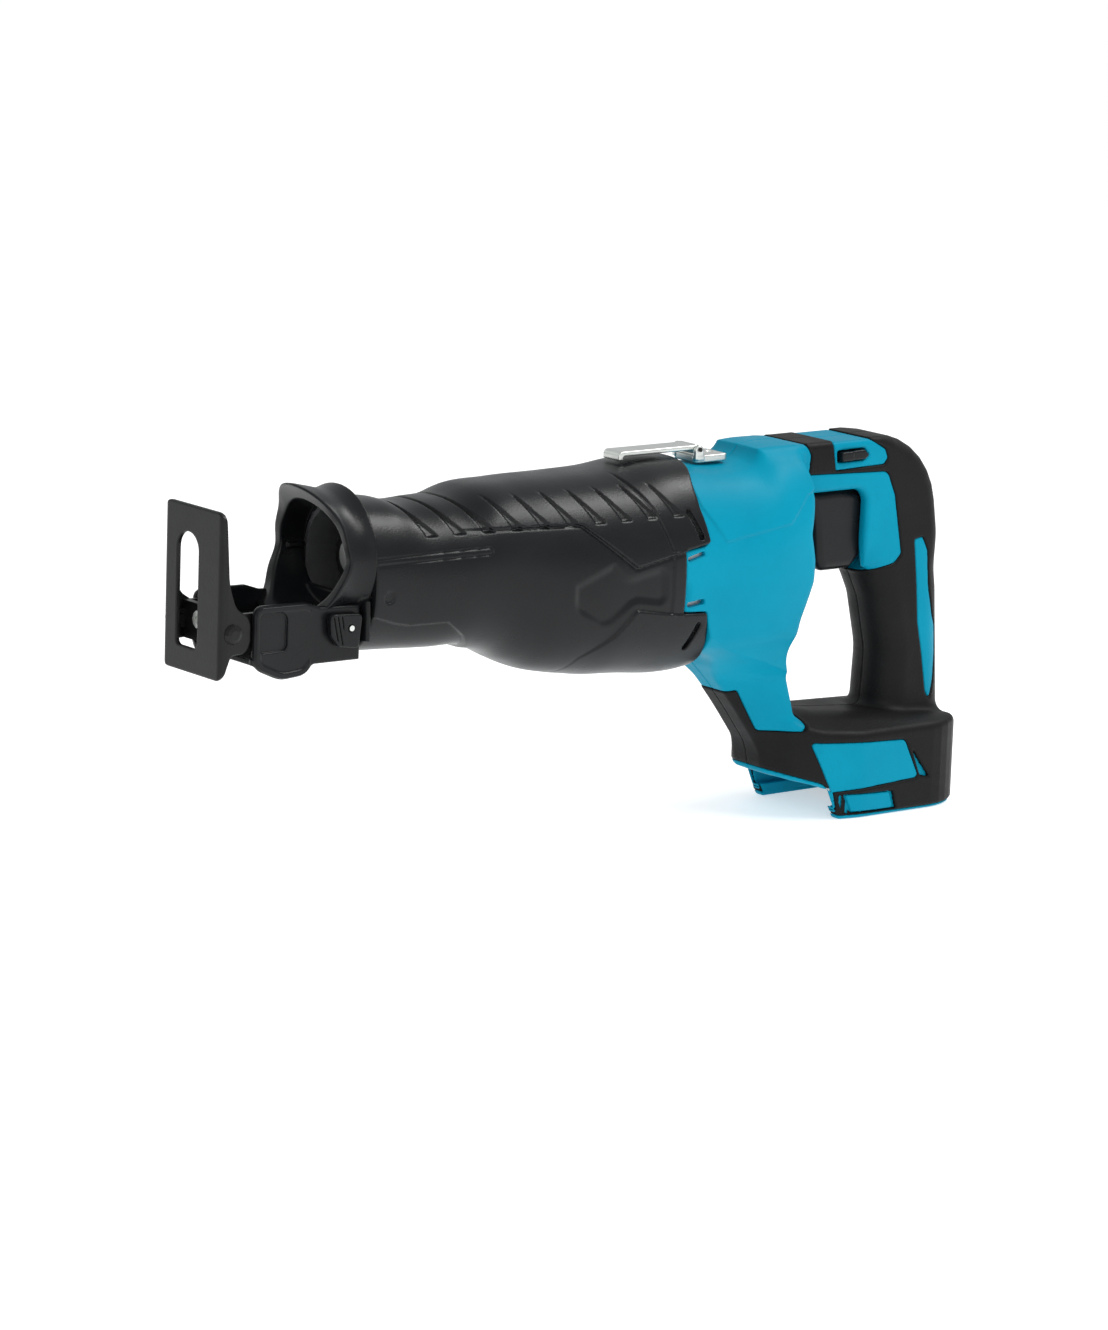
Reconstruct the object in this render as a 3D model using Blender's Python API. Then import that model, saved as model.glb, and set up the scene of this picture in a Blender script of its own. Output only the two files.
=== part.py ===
"""Cordless reciprocating saw with a D-shaped handle, as separate named pieces.

Frame: the nose points to -X, +Z is up, and the plane Y = 0 splits the saw into its
left half (-Y) and right half (+Y). Z = 0 is the rim of the battery foot. Sizes below
are in millimetres.
"""

import math

import bmesh
import bpy
from mathutils import Matrix, Vector

MM = 0.001

# Overall sizes
HALF_LENGTH = 247.0
HALF_WIDTH = 47.0
GAP = 0.3
HALF_GAP = GAP / 2
SLIVER = 0.002

# Shells
COVER_WALL = 3.0
CASTING_WALL = 3.6
SKIN = 3.0
HOUSING_WALL = 6.0
OVAL = 2.4

# Drive train
GEAR_X = -20.0
GEAR_TEETH = 24
PINION_TEETH = 7
GEAR_PITCH_R = 32.0
PINION_PITCH_R = GEAR_PITCH_R * PINION_TEETH / GEAR_TEETH
PITCH_PLANE_Z = 127.0
MOTOR_Z = PITCH_PLANE_Z + PINION_PITCH_R
FACE_WIDTH = 8.0
ROOT_SHARE = 0.42
TIP_SHARE = 0.24
STROKE = 32.0
SLIDER_Z = 165.0
SLIDER_R = 9.0
YOKE_BOTTOM_Z = 151.0
GEAR_TOP_Z = PITCH_PLANE_Z - 1.0
CASTING_END_X = 46.0

# Shoe
SHOE_PIVOT = (-240.0, 138.0)
SHOE_HALF_WIDTH = 26.0
SHOE_BOTTOM_Z = 114.0
SHOE_TOP_Z = 199.0
SHOE_SHEET = 2.5
EAR_R = 10.3
RIVET_R = 2.2
RIVET_HOLE_R = 2.6

# Handle and foot
HANDLE_HALF_WIDTH = 18.0
FOOT_HALF_WIDTH = 39.0
RIM_HEIGHT = 3.0
SLOT_CEILING_Z = 17.5
LIP_Z = 7.0
BUTTON_TRAVEL = 5.0
BUTTON_REACH = 21.0

# Barrel stations: x, top z, bottom z, half width
BARREL = [
    (-160, 198, 117, 35.5),
    (-146, 196, 116, 36),
    (-112, 193, 114, 38),
    (-76, 197, 110, 41),
    (-50, 197.5, 100, 44),
    (-25, 198, 95, 46),
    (10, 199.5, 92, HALF_WIDTH),
    (40, 201, 90, HALF_WIDTH),
    (50, 201, 91, 46.8),
]

# Body and neck stations: z, front x, rear x, half width
COLUMN = [
    (203, 100, 118, 20),
    (197.8, 88, 121, 29),
    (197, 54, 122, 32),
    (189, 53, 124, 39),
    (174, 53, 125, 44),
    (152, 53, 124, 46),
    (134, 53, 124, 46),
    (117, 53, 118, 44),
    (101, 60, 115, 40),
    (87, 72, 118, 35),
    (70, 86, 124, 31),
    (52, 100, 136, 30),
    (38, 112, 150, 30),
]

# Side outline of the D handle: x, z, corner radius
HANDLE = [
    (96, 203.5, 0),
    (224, 204.5, 45),
    (237, 118, 60),
    (243, 34, 0),
    (194, 34, 0),
    (196, 84, 30),
    (189, 114, 20),
    (181, 129, 5),
    (176, 131, 3),
    (177, 177, 6),
    (96, 177, 0),
]

# Side outline of the battery foot: x, z, corner radius
FOOT = [
    (113, 27, 0),
    (127, 22.5, 20),
    (144, 18.5, 6),
    (152, 0, 0),
    (HALF_LENGTH, 0, 0),
    (242, 47, 8),
    (150, 55, 30),
    (110, 62, 0),
]

# Side outline of the black elastomer on handle and foot: x, z, corner radius
SKIN_AREA = [
    (128, 215, 0),
    (134, 187, 4),
    (195, 185, 5),
    (203, 138, 5),
    (178, 129, 4),
    (170, 120, 0),
    (140, 62, 0),
    (134, 52, 4),
    (112, 50, 4),
    (94, 73, 4),
    (80, 71, 4),
    (50, 82, 0),
    (50, 48, 0),
    (86, RIM_HEIGHT + 35.5, 0),
    (127, RIM_HEIGHT + 22.5, 20),
    (144, RIM_HEIGHT + 18.5, 6),
    (152, RIM_HEIGHT, 0),
    (260, RIM_HEIGHT, 0),
    (260, 215, 0),
]

# Side outline of the housing's own panel that shows through the foot's elastomer
FOOT_PANEL = [(135, 43, 3), (197, 40, 4), (205, 18, 2), (148, 19, 2)]

TEAL = (0.0, 0.35, 0.50)
BLACK = (0.03, 0.03, 0.033)


def material(name, colour, roughness, metallic=0.0):
    made = bpy.data.materials.get(name)
    if made is None:
        made = bpy.data.materials.new(name)
        made.use_nodes = True
        shader = made.node_tree.nodes["Principled BSDF"]
        shader.inputs["Base Color"].default_value = (*colour, 1.0)
        shader.inputs["Roughness"].default_value = roughness
        shader.inputs["Metallic"].default_value = metallic
    return made


def teal_plastic():
    return material("teal_plastic", TEAL, 0.45)


def black_elastomer():
    return material("black_elastomer", BLACK, 0.7)


def black_plastic():
    return material("black_plastic", (0.02, 0.02, 0.022), 0.5)


def black_steel():
    return material("black_steel", (0.015, 0.015, 0.016), 0.35)


def bright_steel():
    return material("bright_steel", (0.62, 0.62, 0.6), 0.3, 1.0)


def cast_aluminium():
    return material("cast_aluminium", (0.5, 0.5, 0.52), 0.55, 1.0)


def bronze():
    return material("bronze", (0.55, 0.38, 0.2), 0.4, 1.0)


def copper():
    return material("copper", (0.7, 0.3, 0.12), 0.35, 1.0)


def board_green():
    return material("board_green", (0.02, 0.15, 0.06), 0.5)


def lamination():
    return material("lamination", (0.3, 0.3, 0.31), 0.5, 1.0)


# Mesh helpers. Points are in millimetres.


def finished(name, bm, finish, pivot=(0, 0, 0)):
    """An object from bm, with its origin at pivot."""
    centre = Vector(pivot) * MM
    bmesh.ops.recalc_face_normals(bm, faces=bm.faces[:])
    for vert in bm.verts:
        vert.co -= centre
    mesh = bpy.data.meshes.new(name)
    bm.to_mesh(mesh)
    bm.free()
    mesh.materials.append(finish)
    mesh.shade_smooth()
    mesh.set_sharp_from_angle(angle=math.radians(35))
    made = bpy.data.objects.new(name, mesh)
    made.location = centre
    bpy.context.scene.collection.objects.link(made)
    return made


def loft(name, rings, finish, loop=False, pivot=(0, 0, 0)):
    """A closed solid through rings of points. A loop joins the last ring to the first."""
    bm = bmesh.new()
    rows = [[bm.verts.new(Vector(point) * MM) for point in ring] for ring in rings]
    pairs = list(zip(rows, rows[1:]))
    if loop:
        pairs.append((rows[-1], rows[0]))
    count = len(rings[0])
    for near, far in pairs:
        for i in range(count):
            j = (i + 1) % count
            bm.faces.new((near[i], near[j], far[j], far[i]))
    if not loop:
        bm.faces.new(rows[0])
        bm.faces.new(rows[-1])
    return finished(name, bm, finish, pivot)


def circle(centre, axis, radius, sides, turn=0.0):
    """Points on a circle about a row axis."""
    first, second = {"X": (1, 2), "Y": (2, 0), "Z": (0, 1)}[axis]
    points = []
    for i in range(sides):
        angle = turn + 2 * math.pi * i / sides
        point = list(centre)
        point[first] += radius * math.cos(angle)
        point[second] += radius * math.sin(angle)
        points.append(point)
    return points


def turned(name, profile, centre, axis, finish, sides=20, ring=False):
    """A turned solid: profile is (distance along axis, radius), and a ring's profile is a closed loop."""
    index = "XYZ".index(axis)
    rings = []
    for along, radius in profile:
        place = list(centre)
        place[index] = along
        rings.append(circle(place, axis, radius, sides))
    return loft(name, rings, finish, ring, centre)


def washer(name, low, high, inner, outer, centre, axis, finish, sides=20):
    """A plain ring, or a tube, along a row axis."""
    profile = [(low, inner), (low, outer), (high, outer), (high, inner)]
    return turned(name, profile, centre, axis, finish, sides, ring=True)


def rounded(corners, step=20.0, inset=0.0):
    """An outline from (u, v, radius) corners, with round corners, moved inwards by inset."""
    area = sum(
        a[0] * b[1] - b[0] * a[1] for a, b in zip(corners, corners[1:] + corners[:1])
    )
    side = 1.0 if area > 0 else -1.0
    count = len(corners)
    moved = []
    for i, corner in enumerate(corners):
        before = Vector(corner[:2]) - Vector(corners[i - 1][:2])
        after = Vector(corners[(i + 1) % count][:2]) - Vector(corner[:2])
        before.normalize()
        after.normalize()
        inward = (Vector((-before.y, before.x)) + Vector((-after.y, after.x))) * side
        inward.normalize()
        lean = max(0.3, inward.dot(Vector((-before.y, before.x)) * side))
        place = Vector(corner[:2]) + inward * (inset / lean)
        turn = before.x * after.y - before.y * after.x
        radius = corner[2]
        if radius:
            radius = max(0.5, radius - inset * (1 if turn * side > 0 else -1))
        moved.append((place, radius, before, after))
    points = []
    for place, radius, before, after in moved:
        angle = math.acos(max(-1.0, min(1.0, before.dot(after))))
        if not radius or angle < 0.02:
            points.append(tuple(place))
            continue
        reach = radius * math.tan(angle / 2)
        start = place - before * reach
        sign = 1.0 if before.x * after.y - before.y * after.x > 0 else -1.0
        centre = start + Vector((-before.y, before.x)) * radius * sign
        parts = max(1, round(math.degrees(angle) / step))
        arm = start - centre
        for k in range(parts + 1):
            spin = Matrix.Rotation(sign * angle * k / parts, 2)
            points.append(tuple(centre + spin @ arm))
    return points


def prism(name, outline, axis, low, high, finish, pivot=(0, 0, 0)):
    """An outline extruded along a row axis: (x, z) along Y, (x, y) along Z, (y, z) along X."""

    def place(point, level):
        u, v = point[:2]
        return {"X": (level, u, v), "Y": (u, level, v), "Z": (u, v, level)}[axis]

    rings = [[place(p, low) for p in outline], [place(p, high) for p in outline]]
    return loft(name, rings, finish, pivot=pivot)


def block(name, low, high, finish, pivot=(0, 0, 0)):
    """A box between two corners."""
    outline = [(low[0], low[1]), (high[0], low[1]), (high[0], high[1]), (low[0], high[1])]
    return prism(name, outline, "Z", low[2], high[2], finish, pivot)


def tidy(mesh):
    """Removes the slivers that a Boolean leaves."""
    bm = bmesh.new()
    bm.from_mesh(mesh)
    bmesh.ops.remove_doubles(bm, verts=bm.verts[:], dist=SLIVER * MM)
    bmesh.ops.dissolve_degenerate(bm, edges=bm.edges[:], dist=SLIVER * MM)
    bm.to_mesh(mesh)
    bm.free()


def mirrored(target):
    """Target reflected in the parting plane."""
    bm = bmesh.new()
    bm.from_mesh(target.data)
    bmesh.ops.scale(bm, verts=bm.verts[:], vec=(1, -1, 1))
    bmesh.ops.reverse_faces(bm, faces=bm.faces[:])
    bm.to_mesh(target.data)
    bm.free()
    return target


def joined(target, other, operation):
    """Target after a Boolean with other, which is used up."""
    step = target.modifiers.new("joined", "BOOLEAN")
    step.operation = operation
    step.object = other
    graph = bpy.context.evaluated_depsgraph_get()
    mesh = bpy.data.meshes.new_from_object(target.evaluated_get(graph))
    target.modifiers.clear()
    target.data = mesh
    bpy.data.objects.remove(other)
    tidy(mesh)
    return target


def cut(target, *others):
    for other in others:
        joined(target, other, "DIFFERENCE")
    return target


def merge(target, *others):
    for other in others:
        joined(target, other, "UNION")
    return target


def common(target, *others):
    for other in others:
        joined(target, other, "INTERSECT")
    return target


def oval(x, top, bottom, half_width, inset, sides=24):
    """A section of the barrel at x, as points round the X axis."""
    middle = (top + bottom) / 2
    height = (top - bottom) / 2 - inset
    width = half_width - inset
    points = []
    for i in range(sides):
        angle = 2 * math.pi * i / sides
        c, s = math.cos(angle), math.sin(angle)
        y = math.copysign(abs(c) ** (2 / OVAL), c) * width
        z = math.copysign(abs(s) ** (2 / OVAL), s) * height
        points.append((x, y, middle + z))
    return points


def barrel_station(x):
    """Top z, bottom z and half width of the barrel at x."""
    stations = BARREL
    for a, b in zip(stations, stations[1:]):
        if x <= b[0]:
            share = max(0.0, (x - a[0]) / (b[0] - a[0]))
            return [p + (q - p) * share for p, q in zip(a[1:], b[1:])]
    return stations[-1][1:]


def barrel_rings(start, end, inset):
    places = [start, *[s[0] for s in BARREL if start + 2 < s[0] < end - 2], end]
    return [oval(x, *barrel_station(x), inset) for x in places]


def barrel_shell(name, start, end, outer, inner, finish):
    """A tube that follows the barrel, between two insets from its surface."""
    rings = barrel_rings(start, end, outer) + barrel_rings(start, end, inner)[::-1]
    return loft(name, rings, finish, loop=True)


# Housing: two clamshell halves with the black elastomer moulded onto them


def column_solid(inset):
    rings = []
    power = 4
    sides = 24
    low = COLUMN[-1][0]
    for z, front, rear, width in COLUMN:
        level = z - inset if z == COLUMN[0][0] else z
        level = min(level, COLUMN[0][0] - inset) if z > low else z
        middle = (front + rear) / 2
        length = (rear - front) / 2 - inset
        ring = []
        for i in range(sides):
            angle = 2 * math.pi * i / sides
            c, s = math.cos(angle), math.sin(angle)
            x = middle + math.copysign(abs(c) ** (2 / power), c) * length
            y = math.copysign(abs(s) ** (2 / power), s) * (width - inset)
            ring.append((x, y, level))
        rings.append(ring)
    kept = [rings[0]]
    for ring in rings[1:]:
        if kept[-1][0][2] - ring[0][2] > 0.5:
            kept.append(ring)
    return loft("column", kept, teal_plastic())


def handle_solid(inset):
    """The D handle. Its outer form has rounded long edges, and its inner forms are plain."""
    width = HANDLE_HALF_WIDTH - inset
    steps = [(-width, 0.0), (width, 0.0)]
    if inset == 0:
        steps = [(-width, 8.0), (-width + 3, 3.0), (-width + 8, 0.0)]
        steps += [(-y, extra) for y, extra in reversed(steps)]
    rings = []
    for y, extra in steps:
        outline = rounded(HANDLE, 26.0, inset + extra)
        rings.append([(x, y, z) for x, z in outline])
    return loft("handle", rings, teal_plastic())


def foot_solid(inset):
    """The battery foot. An inset form is lowered too, so that it still reaches the rim."""
    outline = [(x, z - inset) for x, z in rounded(FOOT, 22.0, inset)]
    side = prism("foot", outline, "Y", -60, 60, teal_plastic())
    rear = HALF_LENGTH
    near_side = [(112, -14, 0), (126, -26, 12), (140, -35, 20), (165, -FOOT_HALF_WIDTH, 20)]
    near_side.append((rear, -FOOT_HALF_WIDTH, 32))
    plan = near_side + [(x, -y, radius) for x, y, radius in reversed(near_side)]
    return common(
        side, prism("plan", rounded(plan, 22.0, inset), "Z", -10, 80, teal_plastic())
    )


def body_solid(name, inset):
    """The outer form of both halves together, moved inwards by inset."""
    made = merge(column_solid(inset), handle_solid(inset), foot_solid(inset))
    made.name = name
    return made


def skin_mask(grow):
    """A prism over the area that the elastomer covers, seen from the side."""
    mask = prism("mask", rounded(SKIN_AREA, 30.0, -grow), "Y", -60, 60, black_elastomer())
    panel = prism("panel", rounded(FOOT_PANEL, 45.0, grow), "Y", -70, 70, black_elastomer())
    return cut(mask, panel)


def cavity_solid():
    """The hollow inside the housing."""
    hollow = merge(column_solid(HOUSING_WALL), handle_solid(HOUSING_WALL))
    hollow = cut(hollow, block("floor", (90, -60, 0), (260, 60, 40), teal_plastic()))
    bay = block("bay", (140, -27, 31), (226, 27, 46), teal_plastic())
    front = turned(
        "front", [(30, 38), (75, 38)], (0, 0, MOTOR_Z + 4), "X", teal_plastic(), 28
    )
    hollow = merge(hollow, bay, front)
    for x, z in SCREWS:
        boss = [(-60, BOSS_R), (60, BOSS_R)]
        cut(hollow, turned("boss", boss, (x, 0, z), "Y", teal_plastic(), 10))
    return hollow


def battery_slot():
    """The T-shaped slot that a battery slides into from the front."""
    wide = block("wide", (118, -33.5, LIP_Z), (219, 33.5, SLOT_CEILING_Z), teal_plastic())
    narrow = block("narrow", (60, -29, -5), (230, 29, LIP_Z + 0.5), teal_plastic())
    return merge(wide, narrow)


SCREWS = [(107, 188), (105, 98), (105, 66), (203, 188), (228, 100), (228, 58)]
BOSS_R = 5.2


def left_of_plane(made):
    """What lies on the left of the parting plane."""
    return cut(made, block("right", (-300, -HALF_GAP, -50), (300, 80, 260), teal_plastic()))


def tongue():
    """The housing's tongue that reaches forward into the barrel cover's side notch."""
    strip = barrel_shell("tongue", 30.3, 60, 0, COVER_WALL, teal_plastic())
    limit = block("limit", (20, -60, 126.3), (61, -30, 160.7), teal_plastic())
    return common(strip, limit)


def housing_half(name, side):
    collar = barrel_shell("collar", 50.3, 62, 0.4, 6, teal_plastic())
    made = merge(body_solid(name, 0), collar)
    skin = cut(skin_mask(HALF_GAP), body_solid("core", SKIN))
    made = cut(made, skin, cavity_solid(), battery_slot())
    made = cut(made, trigger_slot(), button_slot())
    made = merge(left_of_plane(made), tongue())
    if side > 0:
        mirrored(made)
    for x, z in SCREWS:
        cut(made, screw_hole(x, z, side))
    return made


def skin_half(name, side):
    made = common(body_solid(name, 0), skin_mask(-HALF_GAP))
    made = cut(made, body_solid("core", SKIN - GAP))
    made = cut(made, battery_slot(), trigger_slot(), button_slot())
    made = left_of_plane(made)
    if side > 0:
        mirrored(made)
        for x, z in SCREWS:
            cut(made, screw_hole(x, z, side))
    made.data.materials.clear()
    made.data.materials.append(black_elastomer())
    return made


def screw_hole(x, z, side):
    """Room for a screw from the right: a wide hole for the head, a narrow one for the shank."""
    if side < 0:
        return turned("hole", [(-13, 2.3), (5, 2.3)], (x, 0, z), "Y", bright_steel(), 8)
    profile = [(-5, 2.3), (9, 2.3), (9, 4.8), (60, 4.8)]
    return turned("hole", profile, (x, 0, z), "Y", bright_steel(), 8)


def screw(name, x, z):
    profile = [(-12, 2.0), (9.3, 2.0), (9.3, 4.2), (12, 4.2)]
    return turned(name, profile, (x, 0, z), "Y", black_steel(), 8)


def trigger_slot():
    return block("slot", (130, -12.4, 130.5), (192, 12.4, 176.4), teal_plastic())


def button_slot():
    return block("slot", (152.4, -60, 193.4), (174.6, 60, 200.6), teal_plastic())


def build_housing():
    housing_half("housing_left", -1)
    housing_half("housing_right", 1)
    skin_half("grip_overmold_left", -1)
    skin_half("grip_overmold_right", 1)
    for number, (x, z) in enumerate(SCREWS, 1):
        screw(f"housing_screw_{number}", x, z)


# Barrel: rubber cover over the gear casting, and the nose guard


def build_barrel():
    cover = barrel_shell("barrel_cover", -160, 50, 0, COVER_WALL, black_elastomer())
    notch = block("notch", (30, -60, 126), (60, 60, 161), black_elastomer())
    keep = block("keep", (20, -30, 120), (61, 30, 170), black_elastomer())
    cut(cover, cut(notch, keep))

    nose = turned(
        "nose_guard",
        [(-192, 30), (-192, 34), (-188, 36), (-170, 36), (-160.3, 33.5), (-160.3, 28), (-180, 28)],
        (0, 0, 167.5),
        "X",
        black_elastomer(),
        28,
        ring=True,
    )
    bite = turned("bite", [(-60, 40), (60, 40)], (-216, 0, 174), "Y", black_elastomer(), 24)
    cut(nose, bite)

    outer = COVER_WALL + GAP
    inner = outer + CASTING_WALL
    casting = barrel_shell("gear_housing", -159, CASTING_END_X, outer, inner, cast_aluminium())
    seat = washer("seat", 100.6, 111, 12.3, 16, (GEAR_X, 0, 0), "Z", cast_aluminium(), 16)
    merge(casting, seat)
    fitted = inner + GAP
    wall_with_hole("gear_housing_rear_wall", 34, 44, fitted, MOTOR_Z, 13.3, cast_aluminium())
    wall_with_hole("slider_guide_front", -104, -92, fitted, SLIDER_Z, 13.3, cast_aluminium())
    wall_with_hole("slider_guide_rear", -66, -56, fitted, SLIDER_Z, 13.3, cast_aluminium())
    for name, low, high in (("front", -106, -90), ("rear", -68, -54)):
        washer(
            f"slider_bush_{name}", low, high, SLIDER_R + GAP, 13.0, (0, 0, SLIDER_Z), "X", bronze()
        )


def wall_with_hole(name, low, high, inset, hole_z, hole_r, finish):
    """A cross wall that fills the casting, with a round seat through it."""
    sides = 24
    rings = []
    for x in (low, high):
        rings.append(oval(x, *barrel_station(x), inset, sides))
    for x in (high, low):
        rings.append(circle((x, 0, hole_z), "X", hole_r, sides))
    return loft(name, rings, finish, loop=True)


# Motor


def build_motor():
    axis = (0, 0, MOTOR_Z)
    washer("stator_core", 66, 102, 16.5, 31, axis, "X", lamination(), 24)
    washer("stator_coils_front", 61, 65.7, 18, 29, axis, "X", copper(), 20)
    washer("stator_coils_rear", 102.3, 106.5, 18, 29, axis, "X", copper(), 20)
    washer("sensor_board", 107, 108.6, 8, 28, axis, "X", board_green(), 20)
    washer("motor_bearing_front", 35, 43, 4.6, 13, axis, "X", bright_steel(), 20)
    washer("motor_bearing_rear", 109.2, 114.6, 4.6, 10, axis, "X", bright_steel(), 20)
    shaft = [(4.3, 4.2), (116, 4.2)]
    turned("rotor_shaft", shaft, axis, "X", bright_steel(), 16)
    washer("rotor_core", 66, 102, 4.5, 15.5, axis, "X", lamination(), 20)
    build_fan(axis)
    build_pinion()


def build_fan(axis):
    blades = 9
    fan = washer("motor_fan", 49, 51, 4.5, 30, axis, "X", black_plastic(), 18)
    for i in range(blades):
        turn = 2 * math.pi * (i + 0.5) / blades
        radial = Vector((0, math.cos(turn), math.sin(turn)))
        across = Vector((0, -math.sin(turn), math.cos(turn)))
        corners = [(12, -0.8), (29, -2.8), (29, -1.2), (12, 0.8)]
        rings = []
        for x in (50.5, 58):
            rings.append([Vector((x, 0, MOTOR_Z)) + radial * r + across * t for r, t in corners])
        merge(fan, loft("blade", rings, black_plastic()))


def bevel_teeth(count):
    """(angle, share of tooth height) round a toothed edge: root, tip, tip, root for each tooth."""
    steps = []
    pitch = 2 * math.pi / count
    for i in range(count):
        middle = i * pitch
        steps.append((middle - pitch * ROOT_SHARE / 2, 0.0))
        steps.append((middle - pitch * TIP_SHARE / 2, 1.0))
        steps.append((middle + pitch * TIP_SHARE / 2, 1.0))
        steps.append((middle + pitch * ROOT_SHARE / 2, 0.0))
    return steps


def build_pinion():
    """Pinion teeth on a cone whose apex is where the motor and gear axes cross."""
    apex_x = GEAR_X
    addendum = 0.05
    dedendum = 0.06
    rings = []
    slope = PINION_PITCH_R / GEAR_PITCH_R
    turn = math.pi / PINION_TEETH
    for reach in (GEAR_PITCH_R - FACE_WIDTH, GEAR_PITCH_R):
        ring = []
        root = reach * (slope - dedendum)
        for angle, tip in bevel_teeth(PINION_TEETH):
            radius = root + tip * reach * (addendum + dedendum)
            spin = angle + turn - math.pi / 2
            ring.append(
                (apex_x + reach, radius * math.cos(spin), MOTOR_Z + radius * math.sin(spin))
            )
        rings.append(ring)
    for x in (apex_x + GEAR_PITCH_R, apex_x + GEAR_PITCH_R - FACE_WIDTH):
        count = len(rings[0])
        rings.append(circle((x, 0, MOTOR_Z), "X", 4.5, count, -math.pi / 2))
    loft("drive_pinion", rings, bright_steel(), True, (0, 0, MOTOR_Z))


# Crank gear, slider and blade clamp


def build_crank():
    """Bevel gear with a crank pin. Its teeth lie just below the pitch cone."""
    apex_z = MOTOR_Z
    slope = PINION_PITCH_R / GEAR_PITCH_R
    addendum = 0.03
    dedendum = 0.075
    inner = GEAR_PITCH_R - FACE_WIDTH - 0.5
    outer = GEAR_PITCH_R + 0.5
    rings = []
    for reach in (outer, inner):
        ring = []
        for angle, tip in bevel_teeth(GEAR_TEETH):
            drop = reach * (slope + dedendum - tip * (addendum + dedendum))
            ring.append(
                (GEAR_X + reach * math.cos(angle), reach * math.sin(angle), apex_z - drop)
            )
        rings.append(ring)
    sides = len(rings[0])
    start = -math.pi / GEAR_TEETH * ROOT_SHARE
    for radius in (inner, outer):
        rings.append(circle((GEAR_X, 0, 118), "Z", radius, sides, start))
    gear = loft("crank_gear", rings, bright_steel(), True, (GEAR_X, 0, 0))
    hub = washer("hub", 118.5, GEAR_TOP_Z, 4.6, inner + 1.5, (GEAR_X, 0, 0), "Z", bright_steel(), 24)
    merge(gear, hub)
    centre = (GEAR_X, 0, 0)
    turned("crank_shaft", [(102.5, 4.3), (128.5, 4.3)], centre, "Z", bright_steel(), 16)
    washer("crank_bearing", 104, 111.5, 4.6, 12, centre, "Z", bright_steel(), 20)

    pin = (GEAR_X + STROKE / 2, 0, 0)
    turned("crank_pin", [(126.8, 4), (YOKE_BOTTOM_Z - GAP, 4)], pin, "Z", bright_steel(), 14)
    washer("crank_roller", 141, 149, 4.3, 6.6, pin, "Z", bronze(), 16)
    weight = []
    for radius, first, last in ((22.5, 110, 250), (9.5, 250, 110)):
        for k in range(9):
            angle = math.radians(first + (last - first) * k / 8)
            weight.append((GEAR_X + radius * math.cos(angle), radius * math.sin(angle)))
    prism("counterweight", weight, "Z", 128.4, 140, bright_steel(), centre)


def build_slider():
    centre = (0, 0, SLIDER_Z)
    tip = -152.0
    rod = turned("slider", [(tip, SLIDER_R), (6, SLIDER_R)], centre, "X", bright_steel(), 24)
    slot = block("slot", (tip - 5, -1.0, SLIDER_Z - 6.5), (tip + 22, 1.0, SLIDER_Z + 6.5), bright_steel())
    cut(rod, slot)
    middle = GEAR_X + STROKE / 2
    yoke = block(
        "slider_yoke",
        (middle - 10, -27, YOKE_BOTTOM_Z),
        (middle + 9.5, 27, SLIDER_Z - SLIDER_R + 5.5),
        bright_steel(),
    )
    bore = turned("bore", [(-60, SLIDER_R + 0.2), (60, SLIDER_R + 0.2)], centre, "X", bright_steel(), 24)
    cut(yoke, bore)
    washer("clamp_sleeve", -150, -120, 10.2, 15, centre, "X", black_steel(), 20)
    washer("clamp_stop_ring", -119.6, -117.4, 9.3, 13, centre, "X", bright_steel(), 20)


# Shoe, its sliding bracket, the guide and the lock lever


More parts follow.
